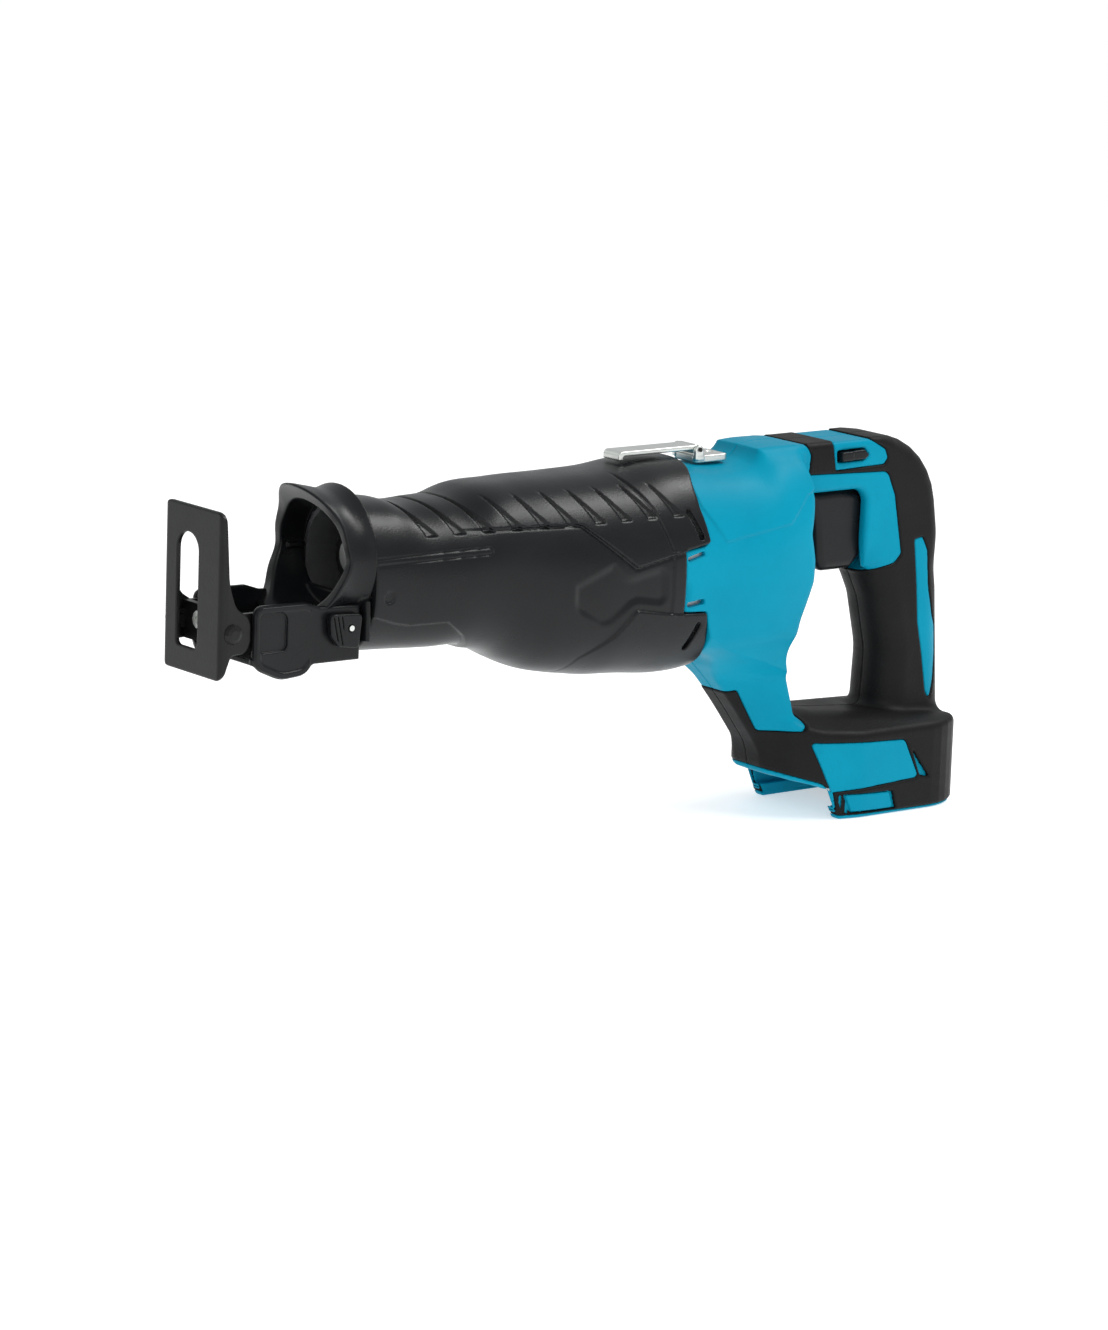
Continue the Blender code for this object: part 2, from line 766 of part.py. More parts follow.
def build_shoe():
    front = -HALF_LENGTH
    back = front + SHOE_SHEET
    plate_outline = rounded(
        [
            (-SHOE_HALF_WIDTH, SHOE_BOTTOM_Z, 6),
            (SHOE_HALF_WIDTH, SHOE_BOTTOM_Z, 6),
            (SHOE_HALF_WIDTH, SHOE_TOP_Z, 6),
            (-SHOE_HALF_WIDTH, SHOE_TOP_Z, 6),
        ],
        30.0,
    )
    pivot = (SHOE_PIVOT[0], 0, SHOE_PIVOT[1])
    shoe = prism("shoe", plate_outline, "X", front, back, black_steel(), pivot)
    slot_outline = rounded([(-4.5, 127, 3), (14, 127, 3), (14, 185, 9), (-4.5, 185, 9)], 30.0)
    cut(shoe, prism("slot", slot_outline, "X", front - 5, back + 5, black_steel()))
    ear_x, ear_z = SHOE_PIVOT
    flange = [
        (front + 0.5, 119, 0),
        (-240, 126.6, 0),
        (ear_x + EAR_R, ear_z - EAR_R, EAR_R - 0.2),
        (ear_x + EAR_R, ear_z + EAR_R, EAR_R - 0.2),
        (-241, 160, 8),
        (-243.5, 194, 0),
        (front + 0.5, 194, 0),
    ]
    for side in (-1, 1):
        low, high = sorted((side * (SHOE_HALF_WIDTH - SHOE_SHEET), side * SHOE_HALF_WIDTH))
        ear = prism("ear", rounded(flange, 30.0), "Y", low, high, black_steel())
        hole = turned("hole", [(-40, RIVET_HOLE_R), (40, RIVET_HOLE_R)], pivot, "Y", black_steel(), 12)
        merge(shoe, cut(ear, hole))

    reach = SHOE_HALF_WIDTH - SHOE_SHEET - GAP
    arm = 2.6
    floor_z = 128.0
    bracket = block("shoe_bracket", (-245 + 8, -reach, floor_z), (-166, reach, 147), black_steel())
    channel = block("channel", (-233.6, -reach + arm, floor_z - 5), (-150, reach - arm, 152), black_steel())
    top = block("top", (-222, -40, 137.5), (-150, 40, 160), black_steel())
    cut(bracket, channel, top)
    lug = [(-244.1, 133.9, 3.9), (-244.1, 142.1, 3.9), (-236, 143, 0), (-236, 133, 0)]
    for side in (-1, 1):
        low, high = sorted((side * (reach - arm), side * reach))
        merge(bracket, prism("lug", rounded(lug, 30.0), "Y", low, high, black_steel()))
    hole = turned("hole", [(-40, RIVET_HOLE_R), (40, RIVET_HOLE_R)], pivot, "Y", black_steel(), 12)
    screw_seat = turned("seat", [(-260, 3.2), (-220, 3.2)], (0, 5, 140), "X", black_steel(), 10)
    cut(bracket, hole, screw_seat)

    for name, side in (("left", -1), ("right", 1)):
        rivet = [(28.6, 2.4), (28.0, 4.2), (26.3, 5.2), (26.3, RIVET_R), (19.8, RIVET_R)]
        profile = [(side * y, radius) for y, radius in rivet]
        turned(f"shoe_rivet_{name}", profile, pivot, "Y", bright_steel(), 12)
    bolt_profile = [(-240.2, 4.6), (-237.3, 4.6), (-237.3, 2.8), (-228, 2.8)]
    bolt_axis = (0, 5, 140)
    bolt = turned("shoe_bracket_screw", bolt_profile, bolt_axis, "X", bright_steel(), 10)
    cut(bolt, turned("hex", [(-242, 2.2), (-238.3, 2.2)], bolt_axis, "X", bright_steel(), 6))
    build_guide()


def build_guide():
    """Fixed guide under the nose: two lobed cheeks joined by a floor."""
    cheek = [
        (-227.4, 150, 4),
        (-227.4, 118, 8),
        (-212, 112, 14),
        (-195, 114, 8),
        (-193, 121, 3),
        (-164, 121, 0),
        (-164, 141, 0),
        (-193, 141, 2),
        (-196, 149, 2),
    ]
    inner, outer = 24.2, 28.0
    floor_z = 121.0
    floor_high = floor_z + 3
    guide = block(
        "shoe_guide", (-226, -inner - 1, floor_z), (-164.5, inner + 1, floor_high), black_elastomer()
    )
    for side in (-1, 1):
        low, high = sorted((side * inner, side * outer))
        merge(guide, prism("cheek", rounded(cheek, 30.0), "Y", low, high, black_elastomer()))
    lever_pivot = (-173, -28, 136)
    hole = turned("hole", [(-40, 1.9), (-20, 1.9)], lever_pivot, "Y", black_steel(), 10)
    cut(guide, hole)
    shape = rounded([(-186, 143.4, 3), (-185, 133, 3), (-180, 127, 2), (-168, 125, 2), (-166, 142.4, 3)], 30.0)
    lever = prism("shoe_lock_lever", shape, "Y", -32.5, -28.3, black_plastic(), lever_pivot)
    cut(lever, turned("hole", [(-40, 1.9), (-20, 1.9)], lever_pivot, "Y", black_steel(), 10))
    turned("shoe_lock_pin", [(-33, 1.5), (-23.6, 1.5)], lever_pivot, "Y", bright_steel(), 10)


# Hook on top of the body

HOOK_HALF_WIDTH = 7.0
LUG_THICKNESS = 3.0


def build_hook():
    pivot = (66, 0, 205.0)
    half = HOOK_HALF_WIDTH
    lug_low = half + GAP
    lug_high = lug_low + LUG_THICKNESS
    metal = bright_steel()
    outline = [
        (14, 202.5, 1),
        (14, 206.4, 2),
        (62, 206.4, 0),
        (62, 203.8, 0),
        (17, 203.8, 0),
        (17, 202.5, 1),
    ]
    hook = prism("hook", rounded(outline, 45.0), "Y", -half, half, metal, pivot)
    knuckle = turned("knuckle", [(-half, 2.4), (half, 2.4)], pivot, "Y", metal, 12)
    link = block("link", (60, -half, 203.8), (66, half, 206.4), metal)
    hole = turned("hole", [(-30, 1.5), (30, 1.5)], pivot, "Y", metal, 10)
    merge(hook, link, knuckle)
    cut(hook, hole)
    base = block("hook_bracket", (62.4, -lug_high, 198.5), (86, lug_high, 201.8), metal)
    lug = [(62.5, 201, 0), (62.5, 207.4, 2), (69.5, 207.4, 2), (72, 201, 0)]
    for side in (-1, 1):
        low, high = sorted((side * lug_low, side * lug_high))
        merge(base, prism("lug", rounded(lug, 30.0), "Y", low, high, metal))
    cut(base, turned("hole", [(-30, 1.5), (30, 1.5)], pivot, "Y", metal, 10))
    pin_end = lug_high + GAP
    turned("hook_pivot_pin", [(-pin_end, 1.2), (pin_end, 1.2)], pivot, "Y", black_steel(), 10)


# Switch gear and battery terminals


def build_controls():
    shape = [
        (141, 174.5, 3),
        (148, 152, 30),
        (151, 136, 4),
        (156, 131.5, 4),
        (174, 131.5, 5),
        (178, 140, 0),
        (178, 168, 0),
        (172, 175, 4),
    ]
    prism("trigger", rounded(shape, 30.0), "Y", -12, 12, black_plastic())
    block("switch_body", (192.3, -11, 142), (214, 11, 178), black_plastic())
    spring("trigger_spring", (178.3, 192.0), (0, 156), 4.0, 0.5, 5)
    reach = BUTTON_REACH
    block("lock_off_button", (153, -reach, 194), (174, reach - BUTTON_TRAVEL, 200), black_plastic())
    block("control_board", (144, -24, 32), (190, 24, 37), board_green())
    block("terminal_block", (192, -20, LIP_Z + 0.8), (218.5, 20, SLOT_CEILING_Z - GAP), black_plastic())
    for name, y in (("plus", 12.0), ("minus", -12.0)):
        block(f"terminal_contact_{name}", (180, y - 0.6, 9), (191.7, y + 0.6, 15), copper())


def spring(name, span, place, radius, wire, turns):
    """A coil along X between two ends."""
    per_turn = 8
    count = turns * per_turn
    curve = bpy.data.curves.new(name, "CURVE")
    curve.dimensions = "3D"
    curve.bevel_depth = wire * MM
    curve.bevel_resolution = 0
    curve.use_fill_caps = True
    path = curve.splines.new("POLY")
    path.points.add(count)
    low, high = span[0] + wire + 0.1, span[1] - wire - 0.1
    for i in range(count + 1):
        angle = 2 * math.pi * i / per_turn
        x = low + (high - low) * i / count
        y = place[0] + radius * math.cos(angle)
        z = place[1] + radius * math.sin(angle)
        path.points[i].co = (x * MM, y * MM, z * MM, 1)
    made = bpy.data.objects.new(name, curve)
    curve.materials.append(bright_steel())
    bpy.context.scene.collection.objects.link(made)


def build():
    for old in list(bpy.data.objects):
        bpy.data.objects.remove(old)
    build_housing()
    build_barrel()
    build_motor()
    build_crank()
    build_slider()
    build_shoe()
    build_hook()
    build_controls()


build()
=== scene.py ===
"""Looks of the cordless reciprocating saw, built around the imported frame.

The moulded shells are signed distance fields, in millimetres, turned into meshes.
Nose towards -X, +Z up, left side (-Y) towards the camera.
"""

import math

import bpy
import numpy as np
from mathutils import Matrix, Vector


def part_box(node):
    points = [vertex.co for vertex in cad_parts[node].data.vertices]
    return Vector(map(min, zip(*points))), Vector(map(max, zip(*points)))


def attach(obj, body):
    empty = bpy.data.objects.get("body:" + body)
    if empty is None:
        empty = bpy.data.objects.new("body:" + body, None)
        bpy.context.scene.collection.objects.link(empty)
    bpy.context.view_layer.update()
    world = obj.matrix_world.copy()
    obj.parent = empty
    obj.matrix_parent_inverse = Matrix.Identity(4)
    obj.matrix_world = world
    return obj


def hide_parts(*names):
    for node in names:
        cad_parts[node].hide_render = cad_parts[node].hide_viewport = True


MM = 0.001

# Distance fields
#
# Each takes x, y, z arrays in millimetres and is negative inside.


def smin(a, b, k):
    """Join of two fields, blended over k."""
    h = np.clip(0.5 + 0.5 * (b - a) / k, 0, 1)
    return b + (a - b) * h - k * h * (1 - h)


def smax(a, b, k):
    """Meet of two fields, blended over k."""
    return -smin(-a, -b, k)


def ramp(t, low, high):
    """0 below low, 1 above high, smooth between."""
    s = np.clip((t - low) / (high - low), 0, 1)
    return s * s * (3 - 2 * s)


def curve(t, knots):
    """A smooth curve through (t, value) knots, flat past its ends."""
    ts = np.array([k[0] for k in knots], float)
    vs = np.array([k[1] for k in knots], float)
    slope = np.gradient(vs, ts)
    i = np.clip(np.searchsorted(ts, t, side="right") - 1, 0, len(ts) - 2)
    h = ts[i + 1] - ts[i]
    s = np.clip((t - ts[i]) / h, 0, 1)
    a, b = vs[i], vs[i + 1]
    ma, mb = slope[i] * h, slope[i + 1] * h
    return (
        (2 * s**3 - 3 * s**2 + 1) * a
        + (s**3 - 2 * s**2 + s) * ma
        + (-2 * s**3 + 3 * s**2) * b
        + (s**3 - s**2) * mb
    )


def rounded(corners, step=12.0):
    """A closed outline from (u, v, radius) corners, with the round ones as arcs."""
    count = len(corners)
    points = []
    for i, (u, v, radius) in enumerate(corners):
        place = np.array([u, v], float)
        before = place - np.array(corners[i - 1][:2], float)
        after = np.array(corners[(i + 1) % count][:2], float) - place
        before /= np.linalg.norm(before)
        after /= np.linalg.norm(after)
        angle = math.acos(max(-1.0, min(1.0, float(before @ after))))
        if not radius or angle < 0.02:
            points.append(place)
            continue
        sign = 1.0 if before[0] * after[1] - before[1] * after[0] > 0 else -1.0
        start = place - before * radius * math.tan(angle / 2)
        centre = start + np.array([-before[1], before[0]]) * radius * sign
        parts = max(2, math.ceil(math.degrees(angle) / step))
        arm = start - centre
        for k in range(parts + 1):
            turn = sign * angle * k / parts
            c, s = math.cos(turn), math.sin(turn)
            points.append(centre + np.array([c * arm[0] - s * arm[1], s * arm[0] + c * arm[1]]))
    return np.array(points)


def polygon_distance(u, v, points):
    """Signed distance from (u, v) to a closed outline, negative inside."""
    best = np.full(u.shape, 1e18)
    inside = np.zeros(u.shape, bool)
    for a, b in zip(points, np.roll(points, -1, 0)):
        edge = b - a
        du, dv = u - a[0], v - a[1]
        t = np.clip((du * edge[0] + dv * edge[1]) / max(edge @ edge, 1e-12), 0, 1)
        best = np.minimum(best, (du - t * edge[0]) ** 2 + (dv - t * edge[1]) ** 2)
        crosses = (a[1] <= v) != (b[1] <= v)
        if abs(edge[1]) > 1e-12:
            inside ^= crosses & (u < a[0] + (v - a[1]) / edge[1] * edge[0])
    return np.where(inside, -1, 1) * np.sqrt(best)


class Plan:
    """Distance to an outline, sampled once on a grid and read back between its points."""

    def __init__(self, corners, step=0.5, margin=30.0):
        points = rounded(corners)
        self.low = points.min(0) - margin - 0.137 * step  # keeps the grid off the corners
        self.step = step
        size = np.ceil((points.max(0) + margin - self.low) / step).astype(int) + 1
        u = self.low[0] + step * np.arange(size[0])
        v = self.low[1] + step * np.arange(size[1])
        uu, vv = np.meshgrid(u, v, indexing="ij")
        self.grid = polygon_distance(uu, vv, points)
        self.size = size

    def __call__(self, u, v):
        fu = (u - self.low[0]) / self.step
        fv = (v - self.low[1]) / self.step
        cu = np.clip(fu, 0, self.size[0] - 1.001)
        cv = np.clip(fv, 0, self.size[1] - 1.001)
        i, j = cu.astype(int), cv.astype(int)
        a, b = cu - i, cv - j
        g = self.grid
        inner = (g[i, j] * (1 - a) + g[i + 1, j] * a) * (1 - b) + (
            g[i, j + 1] * (1 - a) + g[i + 1, j + 1] * a
        ) * b
        return inner + np.hypot(fu - cu, fv - cv) * self.step


def extruded(flat, across, radius):
    """Meet of a flat distance and a distance across it, with the edge rounded."""
    a, b = flat + radius, across + radius
    return np.hypot(np.maximum(a, 0), np.maximum(b, 0)) + np.minimum(np.maximum(a, b), 0) - radius


def box_distance(u, v, centre, half, radius=0.0):
    """Flat distance to a rectangle with round corners."""
    a = np.abs(u - centre[0]) - half[0] + radius
    b = np.abs(v - centre[1]) - half[1] + radius
    return np.hypot(np.maximum(a, 0), np.maximum(b, 0)) + np.minimum(np.maximum(a, b), 0) - radius


def segment_distance(u, v, a, b):
    """Distance to a line between two points."""
    eu, ev = b[0] - a[0], b[1] - a[1]
    t = np.clip(((u - a[0]) * eu + (v - a[1]) * ev) / (eu * eu + ev * ev), 0, 1)
    return np.hypot(u - a[0] - t * eu, v - a[1] - t * ev)


def path_distance(u, v, points):
    """Distance to a line through several points."""
    best = None
    for a, b in zip(points, points[1:]):
        d = segment_distance(u, v, a, b)
        best = d if best is None else np.minimum(best, d)
    return best


def oval(y, z, top, bottom, width, power):
    """Distance to a rounded section across the barrel."""
    middle = (top + bottom) / 2
    height = (top - bottom) / 2
    shape = (np.abs(y / width) ** power + np.abs((z - middle) / height) ** power) ** (1 / power)
    reach = np.hypot(y, z - middle)
    return reach * (1 - 1 / np.maximum(shape, 0.05))


# Barrel cover
BARREL_TOP = [
    (-165, 197.5), (-150, 196), (-141, 195), (-130, 192.3), (-112, 192.5), (-98, 193),
    (-84, 196.5), (-60, 197), (-20, 197.2), (5, 198), (25, 200.3), (52, 200.8),
]
BARREL_BOTTOM = [
    (-165, 116.5), (-140, 115.5), (-112, 114), (-90, 113.5), (-76, 110.5), (-61, 103.5),
    (-50, 98.8), (-38, 95.8), (-20, 93.8), (10, 91.8), (35, 89.6), (45, 89.8), (55, 91),
]
BARREL_WIDTH = [
    (-165, 35.5), (-146, 36), (-112, 38), (-76, 41), (-50, 44), (-25, 46), (5, 46.8), (55, 46.8)
]
BARREL_POWER = 2.4  # 2 is an ellipse, more is squarer


def barrel(x, y, z):
    """The cover's plain form."""
    return oval(
        y, z, curve(x, BARREL_TOP), curve(x, BARREL_BOTTOM), curve(x, BARREL_WIDTH), BARREL_POWER
    )


# Body, handle and foot
BODY_TOP = [(40, 200), (54, 198.4), (77, 196.6), (92, 197.8), (104, 202.6), (125, 203.4)]
BODY_BOTTOM = [(40, 90), (60, 91), (85, 92), (105, 96), (125, 104)]
BODY_WIDTH = [(40, 46.4), (70, 46), (98, 45), (125, 41)]
BODY_SIDE = Plan(
    [
        (22, 215, 0),
        (126, 215, 0),
        (126, 178, 0),
        (122, 160, 8),
        (125.5, 146, 20),
        (125, 134, 12),
        (116, 112, 20),
        (115, 94, 20),
        (128, 62, 0),
        (140, 26, 0),
        (112, 26, 0),
        (72, 80, 0),
        (60, 89, 4),
        (40, 91, 0),
        (22, 100, 0),
    ]
)
WIDEST = 46.0
HANDLE_HALF_WIDTH = 18.5
BODY_WIDTH_BY_HEIGHT = [
    (38, 30),
    (60, 30.5),
    (78, 31.5),
    (90, 34),
    (99, 38),
    (107, 43.2),
    (117, 44.8),
    (134, 46),
    (150, 46),
]
HANDLE_SIDE = Plan(
    [
        (100, 203.8, 0),
        (224, 204.5, 44),
        (237.5, 118, 60),
        (243.5, 34, 0),
        (194, 34, 0),
        (196.5, 84, 30),
        (189.5, 114, 20),
        (182, 129, 6),
        (176.5, 131.5, 3),
        (177.5, 177, 8),
        (100, 177, 0),
    ]
)
FOOT_SIDE = Plan(
    [
        (115, 31, 2),
        (116.5, 25.6, 1.5),
        (127, 22.2, 10),
        (143, 18.2, 8),
        (152.5, 0, 2),
        (247, 0, 0),
        (247, 12, 0),
        (241.5, 48, 8),
        (150, 56, 30),
        (112, 62, 0),
    ]
)
FOOT_PLAN = Plan(
    [
        (115, -11, 4),
        (126, -25, 12),
        (140, -34, 20),
        (165, -39, 30),
        (247, -39, 32),
        (247, 39, 32),
        (165, 39, 30),
        (140, 34, 20),
        (126, 25, 12),
        (115, 11, 4),
    ]
)
NECK_FRONT = [(20, 128.5), (34, 118.5), (87, 75.6), (96, 66), (106, 40), (120, 5)]
NECK_BOW = [(0, 10.5), (3, 12.5), (12, 18.5), (26, 25.5), (40, 29.5), (60, 31)]


def body_shell(x, y, z):
    """The outer form of body, neck, handle and foot together."""
    ay = np.abs(y)
    top, bottom, width = curve(x, BODY_TOP), curve(x, BODY_BOTTOM), curve(x, BODY_WIDTH)
    upper = oval(y, z, top, bottom, width, BARREL_POWER)
    middle = (top + bottom) / 2
    bow = curve((x - curve(z, NECK_FRONT)) * 0.8, NECK_BOW) + 22 * ramp(z, 78, 106)
    lower = (ay - np.minimum(width * curve(z, BODY_WIDTH_BY_HEIGHT) / WIDEST, bow)) * 0.92
    across = upper + (lower - upper) * ramp(-z, -middle, -middle + 6)
    side = BODY_SIDE(x, z)
    motor = smax(side, across, 6)
    motor = smax(motor, (curve(z, NECK_FRONT) - x) * 0.78, 2.5)
    soft_share = ramp(-z, -152, -124)
    grip = HANDLE_SIDE(x, z)
    crisp = extruded(grip, ay - HANDLE_HALF_WIDTH, 3 + 6 * ramp(x, 184, 204))
    soft = extruded(grip, ay - HANDLE_HALF_WIDTH, 16)
    handle = crisp + (soft - crisp) * soft_share
    made = smin(motor, handle, 7)
    slope = (z - 46.5 - (39 - ay) * 0.42) * 0.92
    foot = smax(extruded(FOOT_SIDE(x, z), FOOT_PLAN(x, y), 3), slope, 3)
    return smin(made, foot, 6)


# Outlines are (x, z) seen from the left side, with a corner radius.
NOSE_Z = 168.0
COVER_SIDE = Plan(
    [
        (-160.3, 225, 0),
        (53, 225, 0),
        (50.5, 201, 10),
        (43, 192, 12),
        (42, 181, 10),
        (45.5, 164, 1.5),
        (44, 161.5, 1.5),
        (29.5, 160, 0.5),
        (30, 127, 0.5),
        (45, 126, 1.5),
        (46, 122, 2),
        (53, 100, 0),
        (56, 80, 0),
        (-160.3, 80, 0),
    ]
)
UPPER_FLAP = Plan(
    [
        (-124, 240, 0), (-124, 181, 0), (-92, 179.5, 20), (-35, 178, 4), (-3, 154, 2),
        (30, 160, 0), (80, 169, 0), (80, 240, 0),
    ]
)
LOWER_FLAP = Plan(
    [
        (-46, 60, 0), (-30, 107, 6), (-14, 118, 6), (-2, 131.5, 2), (24, 127, 4),
        (80, 124, 0), (80, 60, 0),
    ]
)
CHIN = Plan(
    [
        (-200, 60, 0), (-200, 152, 0), (-180, 147, 0), (-146, 136, 4), (-137, 134, 4),
        (-114, 134, 3), (-101, 125, 2), (-70, 98, 6), (-62, 60, 0),
    ]
)
DIMPLE = Plan(
    [
        (-42, 148, 3), (-17, 158, 3), (-9, 149, 8), (18, 154, 6), (19, 131, 6),
        (-3, 135, 8), (-20, 122, 10), (-42, 134, 10),
    ]
)
REAR_GROOVE = [(0, 201.5), (12, 182), (20, 161)]
SLASHES = 10
SLASH_PITCH = 16.7
FIRST_SLASH_X = -124.0
BORE_WALL = 4.4
UPPER_SLIT = (33.6, 179), (39.6, 166.5)
LOWER_SLIT = (40.5, 119.5), (36.5, 107.5)
SLIT_HALF = 1.7
SIDE_LINE = (-176, 167.8), (-92, 168.8)


def slashes(x, z):
    """Depth of the row of slanted grooves in the top of the cover."""
    index = np.clip(np.round((x - FIRST_SLASH_X + (z - 180) * 0.35) / SLASH_PITCH), 0, SLASHES - 1)
    foot_x = FIRST_SLASH_X + SLASH_PITCH * index
    along = np.clip((194.5 - z) / 16.0, 0, 1)
    line_x = foot_x - 11.5 * (1 - along)
    half = 0.7 + 2.0 * along**2
    off = np.abs(x - line_x) * 0.8
    ends = ramp(z, 177.2, 178.4) * (1 - ramp(z, 191, 195))
    return 1.25 * (1 - ramp(off, half - 0.9, half + 0.3)) * ends


def vent(x, z, a, b, half):
    """A slit with round ends."""
    return segment_distance(x, z, a, b) - half


def cover(x, y, z):
    """Moulded cover over the gear housing, one piece."""
    ay = np.abs(y)
    shape = barrel(x, y, z)
    side = ramp(ay, 12, 22)
    flap = UPPER_FLAP(x, z)
    rise = 1.7 * (1 - ramp(flap, -0.7, 0.5)) * ramp(x, -118, -40)
    rise -= 0.5 * np.exp(-(((flap - 0.9) / 0.6) ** 2)) * ramp(x, -112, -80)
    rise += 1.5 * (1 - ramp(LOWER_FLAP(x, z), -0.8, 0.4)) * ramp(x, -40, -6)
    rise -= 1.8 * (1 - ramp(CHIN(x, z), -0.9, 0.3))
    rise -= 1.3 * (1 - ramp(DIMPLE(x, z), -4.5, 0.6)) * side
    rise -= slashes(x, z)
    rise -= 0.9 * np.exp(-((path_distance(x, z, REAR_GROOVE) / 0.7) ** 2)) * side
    lug = segment_distance(x, z, *SIDE_LINE)
    rise -= 0.55 * np.exp(-(((lug - 1.7) / 0.45) ** 2)) * side
    strip = np.abs(x - 25.5) - 4.2
    rise += 0.7 * (1 - ramp(np.maximum(strip, np.abs(z - 143.5) - 17), -0.6, 0.4)) * side
    rise -= 0.9 * (1 - ramp(np.hypot(x + 152, z - 150), 2.4, 3.6)) * side
    shape = shape - rise
    shape = smax(shape, COVER_SIDE(x, z), 1.2)
    slots = np.minimum(vent(x, z, *UPPER_SLIT, SLIT_HALF), vent(x, z, *LOWER_SLIT, SLIT_HALF))
    shape = smax(shape, -np.maximum(slots, 30 - ay), 0.5)
    bore = oval(
        y,
        z,
        curve(x, BARREL_TOP) - BORE_WALL,
        curve(x, BARREL_BOTTOM) + BORE_WALL,
        curve(x, BARREL_WIDTH) - BORE_WALL,
        BARREL_POWER,
    )
    return np.maximum(shape, -bore)


NOSE_BACK_X = -160.2
NOSE_OUTER = [(-193, 36.6), (-187, 36.2), (-181, 34.9), (-174, 33.6), (-166, 33.9), (-160, 35.4)]
NOSE_INNER = [(-193, 31.5), (-187, 29.2), (-178, 28.3), (-160, 28.0)]


def nose_guard(x, y, z):
    """Flared ring at the front, cut back at the sides and hooded over the top."""
    ay = np.abs(y)
    up = z - NOSE_Z
    reach = np.hypot(y, up)
    top_share = ramp(up, 5, 30)
    outer = curve(x, NOSE_OUTER) + 0.9 * top_share * ramp(-x, 168, 178)
    front = extruded(reach - outer, -192.3 - x, 1.6)
    shape = smax(front, x - NOSE_BACK_X, 0.6)
    inner = curve(x, NOSE_INNER)
    shape = smax(shape, inner - reach, 1.2)
    wave = 1.1 * np.cos(np.arctan2(up, 30) * 9.0)
    bite = 40.5 + wave * ramp(ay, 18, 30) * 0.6 - np.hypot(x + 216, z - 174)
    shape = smax(shape, bite, 1.6)
    ridge = np.maximum(np.abs(z - 168) - 1.3, np.abs(reach - 28) - 1.5)
    ridge = np.maximum(ridge, np.maximum(x + 161, -171 - x))
    chin = extruded(box_distance(x, z, (-162.3, 134), (1.9, 15.4), 1.5), ay - 33.6, 4)
    return smin(smin(shape, ridge, 1.0), chin, 2.0)


SKIN = Plan(
    [
        (115, 225, 0),
        (131, 205.5, 0),
        (136, 198, 3),
        (134.5, 187.3, 1.5),
        (191, 185.3, 5),
        (197, 172, 6),
        (203.5, 139, 3),
        (199, 134.6, 4),
        (172, 128, 0),
        (150, 110, 0),
        (130, 80, 0),
        (128, 63, 0),
        (134.5, 53.5, 3),
        (131, 49.5, 2),
        (111, 49.5, 3),
        (95, 73.5, 1.5),
        (79, 70.5, 1.5),
        (55, 79, 0),
        (40, 10, 0),
        (77.2, 39.6, 0),
        (103, 31.8, 0),
        (127, 24.8, 8),
        (141, 20.6, 6),
        (147.5, 15.2, 0),
        (151.5, 2.2, 1),
        (200, 1.8, 0),
        (262, 1.8, 0),
        (262, 225, 0),
    ]
)
FOOT_PANEL = Plan(
    [(134.5, 43.2, 1.5), (194.5, 40.6, 4), (205.5, 18.6, 2), (147, 15.6, 0), (143.5, 22, 2)]
)
FOOT_PATCH = Plan([(155, 13.6, 0.8), (184.5, 12.6, 0.8), (187.5, 3.6, 0.8), (159.3, 4.2, 0.8)])
FOOT_WINDOW = Plan([(149.5, 14.2, 0.5), (187.5, 13.2, 0.5), (190.5, 2.6, 0.5), (153.5, 2.6, 0.5)])
FOOT_WEDGE = Plan([(198.4, 37.6, 0.6), (214, 17.6, 0.6), (206.6, 18.6, 0.6)])
BUTTON_FRAME = Plan(
    [
        (151.5, 204, 1), (177, 204, 3), (188.5, 197.8, 3), (190.5, 192.8, 1.5),
        (188, 189.6, 1.5), (154, 188.6, 0.8),
    ],
)
BUTTON_SLOT = Plan(
    [(154.5, 199, 1), (173.5, 199.4, 2), (177.5, 195.6, 1), (174, 192.8, 1), (155, 192.6, 1)]
)
GRIP_STRIP = Plan(
    [
        (213, 146, 1),
        (218.5, 147, 1),
        (223, 139, 2),
        (225, 118, 8),
        (229.5, 102, 6),
        (233, 96, 2),
        (234, 82, 4),
        (232, 66, 4),
        (229, 56, 1),
        (226, 60, 3),
        (222, 82, 6),
        (218, 100, 6),
        (216.2, 120, 8),
    ]
)
TRIGGER_WELL = Plan(
    [
        (125, 177.8, 0), (184, 177.8, 4), (191.8, 172, 6), (191.8, 138, 4),
        (184, 130.4, 3), (150, 129, 0), (125, 150, 0),
    ],
)
SIDE_PANEL = Plan(
    [
        (30, 230, 0), (43.5, 190, 0), (44.5, 181, 2), (57.5, 162, 3), (103, 167.5, 6),
        (118, 181, 6), (135, 186, 0), (135, 230, 0),
    ],
)


def skin_region(x, z):
    """Where the black rubber covers the body, seen from the side."""
    region = SKIN(x, z)
    for hole in (FOOT_PANEL, BUTTON_FRAME, GRIP_STRIP, FOOT_PATCH):
        region = np.maximum(region, -hole(x, z))
    return region


PANEL_RISE = 0.9


def body(x, y, z):
    """The outer form with the panel that stands proud of each side."""
    panel = 1 - ramp(SIDE_PANEL(x, z), -0.9, 0.7)
    return body_shell(x, y, z) - PANEL_RISE * panel * ramp(np.abs(y), 14, 24)


# The battery slot is T-shaped: (x, z) centre and half size of each part, and its half width.
RAIL_SLOT = (168.5, 12.25), (50.5, 5.25)
RAIL_SLOT_HALF = 33.5
THROAT = (145, 1), (85, 6.5)
THROAT_HALF = 29
# Each vent is a slit between two (x, z) ends.
UPPER_VENT = (32.5, 155.2), (41.5, 157.3)
LOWER_VENT = (33.5, 131), (42, 132)
VENT_FLOOR_Y = 41
COVER_GAP = 0.45
TRIGGER_WELL_HALF = 12.6


